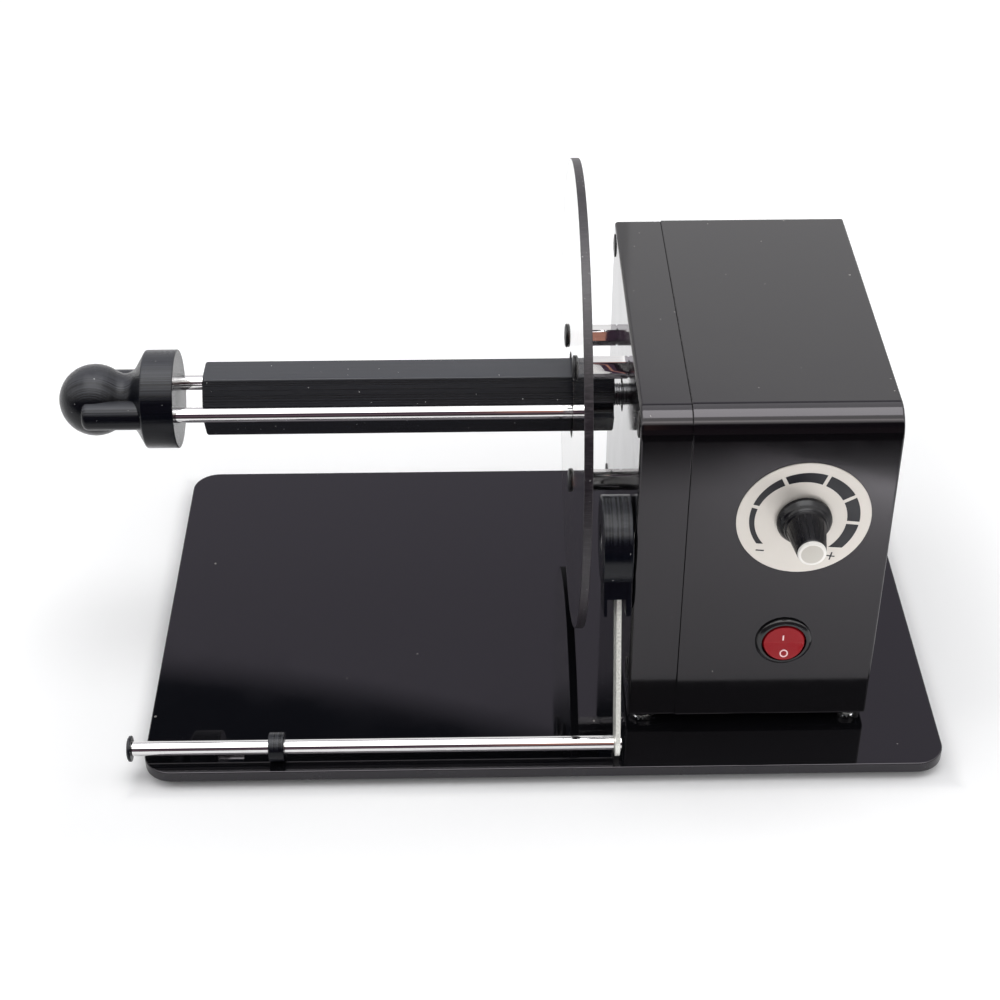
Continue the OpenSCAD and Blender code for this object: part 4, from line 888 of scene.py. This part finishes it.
class REWINDER_OT_arm(bpy.types.Operator):
    """Print the arm's hub, cut its steel strip and turn the pivot shaft and clamp screws"""
    bl_idname = "rewinder.arm"
    bl_label = "Tension arm"

    def execute(self, context):
        y, z = PIVOT.y, PIVOT.z
        x0 = span("arm_hub")[0].x
        x1 = x0 + 12
        low_z = z - 18.5
        hub = turned("arm_hub_finished", "X", PIVOT, chamfered(x0, x1, 18, 0.5), 128)
        for start, end, bottom, top in ((x0 + 0.8, x1 - 0.5, -22, -3), (x0 + 0.8, x0 + 2, -29, -21),
                                        (x1 - 2.5, x1 - 0.5, -29, -21)):
            welded(hub, block("clamp", (start, y - 10.5, z + bottom), (end, y + 10.5, z + top)))
        strip_x = span("arm_strip")[0].x
        screws = [(0, y - 3.6, low_z), (0, y + 3.6, low_z)]
        bore, cap_seat, head_seat, screw_hole = 4.05, 6.5, 2.8, 1.55
        cut(hub, post("X", PIVOT, bore, x0 - 1, x1 + 1), post("X", PIVOT, cap_seat, x0 - 1, x0 + 2.4),
            block("slot", (strip_x - 0.1, y - 7.6, z - 30), (strip_x + 2.1, y + 7.6, z - 14)),
            *[post("X", place, head_seat, x0 - 1, x0 + 2.2, 48) for place in screws],
            *[post("X", place, screw_hole, x0 - 1, x1 + 1, 32) for place in screws])
        soften(hub, sizes().print_edge * 0.6, 2, 38)
        finished(lean(hub), "hub", "arm", "printed_black", "arm_hub")

        half, past_bar = 7.5, 5.3
        strip = block("arm_strip_finished", (strip_x, y - half, z - ARM_L - past_bar),
                      (strip_x + 2, y + half, z - 14.5))
        bevel_edges(strip, half - 0.02, 16, lambda a, b: abs(a.x - b.x) > 1 and a.z < z - 40)
        cut(strip, post("X", (0, y, z - ARM_L), 1.6, strip_x - 1, strip_x + 3, 32),
            *[post("X", place, screw_hole, strip_x - 1, strip_x + 3, 32) for place in screws])
        soften(strip, sizes().metal_edge, 2, 40)
        finished(lean(strip), "zinc", "arm", "zinc_steel", "arm_strip")

        heads = []
        for place in screws:
            screw = turned("hub_screw", "X", place, [
                (x0 + 1.0, 1.3), (x0 + 1.02, 2.0), (x0 + 1.15, 2.35), (x0 + 1.4, 2.5), (x0 + 2.2, 2.5),
                (x0 + 2.2, 1.5), (x0 + 11, 1.5), (x0 + 11.4, 1.2)], 48)
            cut(screw, *cross(x0, x0 + 1.7, *place[1:], 1.3, 0.25))
            heads.append(soften(screw, 0.00006, 1, 40))
        finished(lean(joined("hub_screws_finished", *heads)), "black_steel", "arm", "black_steel", "hub_screws")

        low, high = span("arm_pivot_shaft")
        a = low.x
        shaft = turned("arm_pivot_shaft_finished", "X", PIVOT, [
            (a, 5.5), (a + 0.25, 6.1), (a + 0.6, 6.3), (a + 1.7, 6.3), (a + 2, 6.1), (a + 2, 4.0),
            (high.x - 3, 4.0), (high.x - 2.7, 4.0), (high.x - 2.7, 6.5), (high.x - 1.5, 6.5),
            (high.x - 1.5, 4.0), (high.x - 0.4, 4.0), (high.x, 3.6)], 96)
        cut(shaft, post("X", PIVOT, 2.5, a - 1, a + 1, 6))
        soften(shaft, 0.00012, 2, 40)
        finished(shaft, "turned_steel", "arm", "zinc_steel", "arm_pivot_shaft")
        return {"FINISHED"}


class REWINDER_OT_bar(bpy.types.Operator):
    """Turn the tension bar with its shoulder, push on its end cap and slide on the guide ring"""
    bl_idname = "rewinder.bar"
    bl_label = "Tension bar"

    def execute(self, context):
        low, high = span("tension_bar")
        strip_x = span("arm_strip")[0].x
        centre = (0, BAR.y, BAR.z)
        bar = turned("tension_bar_finished", "X", centre, [
            (low.x + 4.6, 1.5), (low.x, 1.55), (low.x, 2.7), (low.x + 0.3, 3.0), (strip_x - 0.35, 3.0),
            (strip_x, 2.7), (strip_x, 1.5), (strip_x + 2, 1.5), (strip_x + 2, 3.1), (strip_x + 2.15, 3.2),
            (strip_x + 2.8, 3.1), (high.x - 0.15, 2.4), (high.x, 1.6)], 96)
        cut(bar, *cross(high.x - 0.5, high.x + 1, BAR.y, BAR.z, 1.5, 0.28))
        smooth(bar)
        finished(bar, "chrome", "arm", "chrome_steel", "tension_bar")
        low, high = span("bar_end_cap")
        r = (high.z - low.z) / 2
        cap = turned("bar_end_cap_finished", "X", centre, [
            (low.x, r - 1.3), (low.x + 0.1, r - 1.0), (low.x + 0.62, r - 0.12), (low.x + 0.85, r),
            (low.x + 1.6, r), (low.x + 1.8, r - 0.2), (low.x + 1.8, 1.5), (high.x - 0.4, 1.5),
            (high.x, 1.2)], 96)
        smooth(cap)
        finished(cap, "hub", "arm", "printed_black", "bar_end_cap")
        low, high = span("guide_ring")
        r = (high.z - low.z) / 2
        ring = turned("guide_ring_finished", "X", (low + high) / 2, chamfered(low.x, high.x, r, 0.35), 96)
        cut(ring, post("X", centre, 3.05, low.x - 1, high.x + 1, 96))
        soften(ring, 0.00012, 1, 40)
        finished(ring, "hub", "ring", "printed_black", "guide_ring")
        return {"FINISHED"}


class REWINDER_OT_dial(bpy.types.Operator):
    """Cut the white dial plate and print its segments and its minus and plus sign"""
    bl_idname = "rewinder.dial"
    bl_label = "Dial"

    def execute(self, context):
        low, high = span("dial_plate")
        r = (high.z - low.z) / 2
        front, back, bore = low.y, high.y, 3.6
        plate = turned("dial_plate_finished", "Y", DIAL, [
            (back, bore), (back, r - 0.05), (front + 0.12, r), (front, r - 0.15), (front, bore)],
            160, closed=True)
        smooth(plate, 30)
        finished(plate, "dial", "case", "dial_white", "dial_plate")

        x, z = DIAL.x, DIAL.z
        ink, sunk = front - 0.05, front + 0.03
        outer, inner = 21.6, 18.0
        ring = post("Y", (x + 0.3, 0, z + 0.3), outer, ink, sunk, 192)
        cut(ring, post("Y", (x - 1.15, 0, z - 0.4), inner, ink - 1, sunk + 1, 192))
        cut(ring, *[swing(block("gap", (x, ink - 1, z - 0.75), (x + 30, sunk + 1, z + 0.75)), "Y", (x, 0, z),
                          -radians(angle)) for angle in (162.5, 115.7, 68, 28.7, -6.5)])
        cut(ring, swing(block("lower", (x - 30, ink - 1, z - 40), (x + 30, sunk + 1, z - 13.1)), "Y",
                        (x, 0, z - 13.1), radians(4.4)))
        signs = []
        for u, w, long, high, turn in ((-16.0, -15.15, 3.3, 0.6, 5.7), (12.15, -18.4, 3.3, 0.55, 9),
                                       (12.15, -18.4, 0.55, 3.8, 12)):
            u, w = x + u, z + w
            sign = block("sign", (u - long / 2, ink, w - high / 2), (u + long / 2, sunk, w + high / 2))
            signs.append(swing(sign, "Y", (u, 0, w), radians(turn)))
        welded(signs[1], signs[2])
        marks = joined("dial_marks", ring, signs[0], signs[1])
        finished(marks, "marks", "case", "satin_black")
        return {"FINISHED"}


class REWINDER_OT_knob(bpy.types.Operator):
    """Mould the fluted speed knob and its white cap"""
    bl_idname = "rewinder.knob"
    bl_label = "Speed knob"

    def execute(self, context):
        low, high = span("speed_knob")
        foot, tip, deep = high.y, low.y, high.y - low.y
        knob = turned("speed_knob_finished", "Y", DIAL, [(foot - t, r) for t, r in (
            (0, 10.5), (0.25, 10.8), (1.5, 10.8), (1.8, 10.65), (2.6, 10.15), (3.4, 9.75), (3.9, 9.2),
            (4.4, 8.7), (5.0, 8.45), (5.6, 8.3), (6.0, 7.75), (deep - 0.7, 5.75), (deep - 0.2, 5.65),
            (deep, 5.5))], 144)
        taper = (7.7 - 5.75) / (deep - 6.7)
        flutes = []
        out = DIAL.x + 7.75
        for k in range(18):
            flute = turned("flute", "Y", (out, 0, DIAL.z), [
                (foot - 7, 0.05), (foot - 7.6, 0.28), (foot - 9, 0.32), (foot - deep + 2, 0.32),
                (foot - deep + 1.6, 0.05)], 16)
            swing(flute, "Z", (out, foot - 7, DIAL.z), -taper)
            flutes.append(swing(flute, "Y", (DIAL.x, 0, DIAL.z), radians(20 * k)))
        hollow, shaft_hole, cap_seat = 7.1, 3.05, 3.6
        cut(knob, joined("flutes", *flutes), post("Y", DIAL, hollow, foot + 1, foot - 4.2, 96),
            post("Y", DIAL, shaft_hole, foot + 1, foot - 14), post("Y", DIAL, cap_seat, tip - 1, tip + 1.6, 96))
        soften(knob, 0.00012, 2, 38)
        finished(knob, "knob", "knob", "satin_black", "speed_knob")

        cap = turned("knob_cap_finished", "Y", DIAL, [(tip - t, r) for t, r in (
            (-1.5, 3.55), (0, 3.55), (0, 5.4), (0.1, 5.5), (0.6, 5.5), (0.85, 5.42), (1.08, 5.2),
            (1.24, 4.9), (1.3, 4.5), (1.26, 4.25), (1.3, 4.0), (1.46, 2.6), (1.56, 1.2), (1.6, 0.3))], 96)
        smooth(cap, 40)
        # painted shade: the cap's front face takes a darker copy of its white, the rim stays white
        paint(cap, MATERIALS["cap"], MATERIALS["cap_grey"])
        paint_faces(cap, 1, lambda p, n: n.y < -0.5 and (p - DIAL).xz.length < 4.25)
        placed(cap, "knob", "cap_white", "knob_cap")
        return {"FINISHED"}


class REWINDER_OT_switch(bpy.types.Operator):
    """Mould the round rocker switch with its red rocker and its I and O"""
    bl_idname = "rewinder.switch"
    bl_label = "Rocker switch"

    def execute(self, context):
        wall = CASE_LO.y
        x, z = SWITCH.x, SWITCH.z
        centre = (x, 0, z)
        body = turned("switch_body_finished", "Y", centre, [
            (wall + 16, 9.4), (wall + 16, 9.9), (wall, 9.9), (wall, 11.5), (wall - 0.7, 11.5),
            (wall - 1.1, 11.35), (wall - 1.6, 10.8), (wall - 1.9, 10.2), (wall - 2.0, 9.9),
            (wall - 2.0, 9.35), (wall - 1.9, 9.15), (wall - 1.7, 9.1), (wall + 12.5, 9.1),
            (wall + 12.6, 0.4)], 128)
        for dz in (-5, 0, 5):
            welded(body, block("tab", (x - 2.4, wall + 15, z + dz - 0.4), (x + 2.4, wall + 24, z + dz + 0.4)))
        smooth(body, 32)
        finished(body, "bezel", "case", "satin_black", "switch_body")

        pivot = Vector((x, wall + 1.4, z))
        ball = turned("switch_rocker_finished", "X", pivot, [
            (x - 8.9 * cos(radians(a)), 8.9 * sin(radians(a))) for a in range(4, 180, 8)], 96)
        upper, lower = (
            swing(block("half", pivot + Vector((-9.5, -3.4, bottom)), pivot + Vector((9.5, 3, top))),
                  "X", pivot, radians(turn)) for bottom, top, turn in ((-0.3, 9.5, 7), (-9.5, 0.3, -7)))
        shaped(ball, "INTERSECT", welded(upper, lower))
        swing(ball, "X", pivot, radians(-7))
        pin = turned("pin", "X", pivot, [(x - 9.4, 0.9), (x - 9.3, 1.05), (x + 9.3, 1.05), (x + 9.4, 0.9)], 32)
        welded(ball, pin)
        soften(ball, 0.0003, 3, 25)
        finished(ball, "rocker", "rocker", "rocker_red", "switch_rocker")

        face = pivot.y - 3.4
        one = block("one", (x - 0.78, face - 0.06, z + 1.6), (x - 0.22, face + 0.05, z + 4.2))
        ring = turned("ring", "Y", (x + 0.1, 0, z - 5.3), [
            (face + 0.05, 1.2), (face + 0.05, 1.7), (face - 0.06, 1.7), (face - 0.06, 1.2)], 48, closed=True)
        swing(ring, "X", pivot, radians(-14))
        marks = joined("rocker_marks", one, ring)
        finished(marks, "switch_marks", "rocker", "cap_white")
        return {"FINISHED"}


class REWINDER_OT_socket(bpy.types.Operator):
    """Turn the round power socket in the back wall, with its pin"""
    bl_idname = "rewinder.socket"
    bl_label = "Power socket"

    def execute(self, context):
        socket = cad_copy("power_socket", "power_socket_finished")
        soften(socket, 0.00015, 2, 40)
        finished(socket, "bezel", "case", "satin_black", "power_socket")
        return {"FINISHED"}


INSIDE = {
    "base_screws": "black_steel", "bearing_outer_ring": "bearing", "bearing_balls": "bearing",
    "bearing_inner_ring": "bearing", "shaft_coupling": "aluminium", "coupling_screws": "black_steel",
    "gearbox_face_plate": "aluminium", "gearbox_ring": "aluminium", "output_shaft": "turned_steel",
    "output_gear": "brass", "double_gear_near": "brass", "double_gear_far": "brass",
    "gear_pins": "turned_steel", "motor_pinion": "brass", "motor_rotor": "copper",
    "motor_magnets": "magnet", "motor_can": "zinc", "motor_end_cap": "inside_black",
    "motor_plate": "zinc", "motor_pillars": "turned_steel", "inside_screws": "turned_steel",
    "pivot_bush": "bronze", "sensor_flag": "hub", "slot_sensor": "inside_black",
    "pot_body": "inside_black", "pot_shaft": "turned_steel", "pot_nut": "turned_steel",
    "control_board": "board", "board_capacitor": "sleeve", "board_heat_sink": "aluminium",
    "board_terminals": "terminal", "power_socket_nut": "turned_steel", "inside_wires": "wire",
}


class REWINDER_OT_inside(bpy.types.Operator):
    """Give every CAD node that stays its own finish, such as the drive and the board"""
    bl_idname = "rewinder.inside"
    bl_label = "Inside parts"

    def execute(self, context):
        for name, finish in INSIDE.items():
            paint(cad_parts[name], MATERIALS[finish])
        return {"FINISHED"}


# ---------------------------------------------------------------- stage
WHITE = (1, 1, 1, 1)


def lamp(name, place, target, size, power, mirrored=False):
    """A soft rectangular lamp that looks at a point, shown in mirrors only where asked."""
    deselect()
    bpy.ops.object.light_add(type="AREA", location=place)
    made = bpy.context.view_layer.objects.active
    made.name = name
    made.data.shape = "RECTANGLE"
    made.data.size, made.data.size_y = size
    made.data.energy = power
    made.rotation_euler = (Vector(target) - Vector(place)).to_track_quat("-Z", "Y").to_euler()
    made.visible_glossy, made.visible_camera = mirrored, False


def make_floor():
    """A pale floor with a painted glow for what sees it directly, fading near the plate into a painted
    shadow, and painted shade in front for mirrors.
    """
    deselect()
    bpy.ops.mesh.primitive_plane_add(size=7, location=(0, 0, 0))
    floor = named("floor")
    material = bpy.data.materials.new("floor_white")
    material.use_nodes = True
    tree = material.node_tree
    shader = tree.nodes["Principled BSDF"]
    shader.inputs["Roughness"].default_value = 0.9
    shader.inputs["Specular IOR Level"].default_value = 0.0
    path = node(tree, "ShaderNodeLightPath")
    seen = maths(tree, "MAXIMUM", path.outputs["Is Camera Ray"],
                 maths(tree, "MAXIMUM", path.outputs["Is Glossy Ray"], path.outputs["Is Transmission Ray"]))
    place = node(tree, "ShaderNodeSeparateXYZ", {0: node(tree, "ShaderNodeTexCoord").outputs["Object"]}).outputs
    half_plate = (BASE_HI - BASE_LO) / 2 * MM
    middle_x = maths(tree, "SUBTRACT", place[0], (BASE_LO.x + BASE_HI.x) / 2 * MM)
    out_x, out_y = (maths(tree, "SUBTRACT", maths(tree, "ABSOLUTE", offset), half)
                    for offset, half in ((middle_x, half_plate.x), (place[1], half_plate.y)))
    away = maths(tree, "MAXIMUM", out_x, out_y)
    # painted shadow: glossy rays see the floor turn dark in front, where shade falls on the table
    painted_shade_start, painted_shade_end = -0.245, -0.30
    painted_shade = maths(tree, "MULTIPLY", path.outputs["Is Glossy Ray"], between(tree, place[1], painted_shade_start, painted_shade_end))
    kept = maths(tree, "SUBTRACT", 1.0, painted_shade)
    white = mixed(tree, painted_shade, (*colours().floor, 1), (0.03, 0.02, 0.025, 1))
    tree.links.new(white, shader.inputs["Base Color"])
    # painted light: the floor glows for camera, glossy and transmission rays, less near the plate, so a painted
    # shadow rings it
    painted_glow = maths(tree, "ADD", between(tree, away, 0.0015, 0.010, 0.0, 0.165),
                 between(tree, away, 0.02, 0.12, 0.0, 0.17))
    strength = maths(tree, "MULTIPLY", maths(tree, "MULTIPLY", seen, painted_glow), kept)
    glow = node(tree, "ShaderNodeEmission", {"Color": WHITE, "Strength": strength})
    both = node(tree, "ShaderNodeAddShader", {0: shader.outputs[0], 1: glow.outputs[0]})
    tree.links.new(both.outputs[0], tree.nodes["Material Output"].inputs[0])
    paint(floor, material)


def make_world():
    """A plain world: white to the camera and through glass, a studio to mirrors, even light to the rest."""
    world = bpy.context.scene.world or bpy.data.worlds.new("studio")
    bpy.context.scene.world = world
    world.use_nodes = True
    tree = world.node_tree
    tree.nodes.clear()
    path = node(tree, "ShaderNodeLightPath")
    way = node(tree, "ShaderNodeSeparateXYZ", {0: node(tree, "ShaderNodeTexCoord").outputs["Generated"]})
    x, y, z = way.outputs
    tilted = maths(tree, "SUBTRACT", z, maths(tree, "MULTIPLY", x, 0.18))
    sweep = node(tree, "ShaderNodeValToRGB", {"Fac": tilted})
    ramp = sweep.color_ramp
    lilac, dark = (0.60, 0.57, 0.65, 1), (0.02, 0.025, 0.04, 1)
    ramp.elements[0].position, ramp.elements[0].color = 0.52, WHITE
    ramp.elements[1].position, ramp.elements[1].color = 0.56, lilac
    for place, value in ((0.672, lilac), (0.684, dark), (1.0, dark)):
        ramp.elements.new(place).color = value
    rise = maths(tree, "ARCTAN2", z, maths(tree, "MULTIPLY", y, -1.0))
    patch = maths(tree, "MULTIPLY", between(tree, x, 0.0, 0.03), between(tree, x, 0.085, 0.072))
    patch = maths(tree, "MULTIPLY", patch, between(tree, rise, 0.30, 0.36))
    tube = maths(tree, "MULTIPLY", between(tree, rise, 0.82, 0.86), between(tree, rise, 0.97, 0.93))
    middle_x = between(tree, maths(tree, "ABSOLUTE", x), 0.5, 0.35)
    box = maths(tree, "MULTIPLY", between(tree, rise, 1.19, 1.24), middle_x)
    mirror = (0.11, 0.075, 0.09, 1)
    for mask, light in (
            (between(tree, rise, 0.2, 0.5), (0.05, 0.03, 0.05, 1)),  # wall
            (patch, (0.42, 0.20, 0.15, 1)),
            (between(tree, rise, 0.66, 0.80), (1.9, 1.88, 1.84, 1)),  # ceiling
            (tube, (4.0, 3.9, 3.75, 1)),
            (box, (6.0, 6.0, 6.0, 1)),
            (between(tree, rise, 1.80, 1.85), (1.9, 1.9, 1.95, 1)),  # behind the camera
            (between(tree, rise, 2.30, 2.33), sweep.outputs[0])):
        mirror = mixed(tree, mask, mirror, light)
    even, studio, white = (
        node(tree, "ShaderNodeBackground", {"Color": light, "Strength": strength}).outputs[0]
        for light, strength in ((WHITE, 0.55), (mirror, 1.0), (WHITE, 1.0)))
    glossy = node(tree, "ShaderNodeMixShader", {0: path.outputs["Is Glossy Ray"], 1: even, 2: studio})
    seen = maths(tree, "MAXIMUM", path.outputs["Is Camera Ray"], path.outputs["Is Transmission Ray"])
    out = node(tree, "ShaderNodeMixShader", {0: seen, 1: glossy.outputs[0], 2: white})
    node(tree, "ShaderNodeOutputWorld", {0: out.outputs[0]})


def make_camera():
    """The photograph's camera: a 71 mm lens looking down at 36 degrees."""
    eye = (-0.009575, -0.68615, 0.5722)
    pan, tilt, roll = 0.0164, 0.6345, 0.0016
    ahead = Vector((sin(pan) * cos(tilt), cos(pan) * cos(tilt), -sin(tilt)))
    right = Vector((cos(pan), -sin(pan), 0))
    down = ahead.cross(right)
    side = right * cos(roll) + down * sin(roll)
    under = down * cos(roll) - right * sin(roll)
    deselect()
    bpy.ops.object.camera_add(location=(0, 0, 0))
    camera = bpy.context.view_layer.objects.active
    camera.name = "camera"
    camera.data.lens, camera.data.sensor_width = 70.64, 36.0
    camera.data.clip_start, camera.data.clip_end = 0.02, 50
    turn = Matrix((side, -under, -ahead)).transposed().to_4x4()
    camera.matrix_world = Matrix.Translation(eye) @ turn
    bpy.context.scene.camera = camera


class REWINDER_OT_stage(bpy.types.Operator):
    """Set the pale floor, the soft light and the camera"""
    bl_idname = "rewinder.stage"
    bl_label = "Stage"

    def execute(self, context):
        make_camera()
        make_floor()
        make_world()
        lamp("softbox_above", (0.0, 0.1, 1.5), (0, 0, 0), (1.3, 0.7), 7.0)
        lamp("softbox_left", (-1.4, -0.3, 1.0), (0, 0, 0.1), (0.8, 0.8), 4.0)
        lamp("softbox_right", (1.4, 0.2, 1.0), (0, 0, 0.1), (0.8, 0.8), 4.0)
        lamp("bounce_card", (0.19, -0.27, 0.005), (0.118, -0.08, 0.115), (0.14, 0.06), 0.45)
        lamp("panel_behind", (0.1385, 0.15, 0.2575), (0.1385, -1, 0.2575), (0.145, 0.135), 0.021, True)
        bpy.context.scene.view_settings.view_transform = "Standard"
        return {"FINISHED"}


STEPS = (
    REWINDER_OT_base_plate, REWINDER_OT_feet, REWINDER_OT_case, REWINDER_OT_screws, REWINDER_OT_guide_disc,
    REWINDER_OT_standoffs, REWINDER_OT_core, REWINDER_OT_fork, REWINDER_OT_arm, REWINDER_OT_bar,
    REWINDER_OT_dial, REWINDER_OT_knob, REWINDER_OT_switch, REWINDER_OT_socket, REWINDER_OT_inside,
    REWINDER_OT_stage,
)


class REWINDER_PT_panel(bpy.types.Panel):
    """Sizes, colours and the build steps of the label rewinder"""
    bl_label = "Label rewinder"
    bl_idname = "REWINDER_PT_panel"
    bl_space_type = "VIEW_3D"
    bl_region_type = "UI"
    bl_category = "Rewinder"

    def draw(self, context):
        for group_name in ("rewinder_sizes", "rewinder_colours"):
            settings = getattr(context.scene, group_name)
            column = self.layout.column(align=True)
            for name in settings.__annotations__:
                column.prop(settings, name)
        column = self.layout.column(align=True)
        for operator in STEPS:
            column.operator(operator.bl_idname)


CLASSES = (RewinderSizes, RewinderColours) + STEPS + (REWINDER_PT_panel,)


def register():
    for cls in CLASSES:
        bpy.utils.register_class(cls)
    bpy.types.Scene.rewinder_sizes = bpy.props.PointerProperty(type=RewinderSizes)
    bpy.types.Scene.rewinder_colours = bpy.props.PointerProperty(type=RewinderColours)


def unregister():
    del bpy.types.Scene.rewinder_colours
    del bpy.types.Scene.rewinder_sizes
    for cls in reversed(CLASSES):
        bpy.utils.unregister_class(cls)


def main():
    register()
    make_materials()
    for operator in STEPS:
        group_name, step = operator.bl_idname.split(".")
        getattr(getattr(bpy.ops, group_name), step)()
    deselect()


if __name__ == "__main__":
    main()
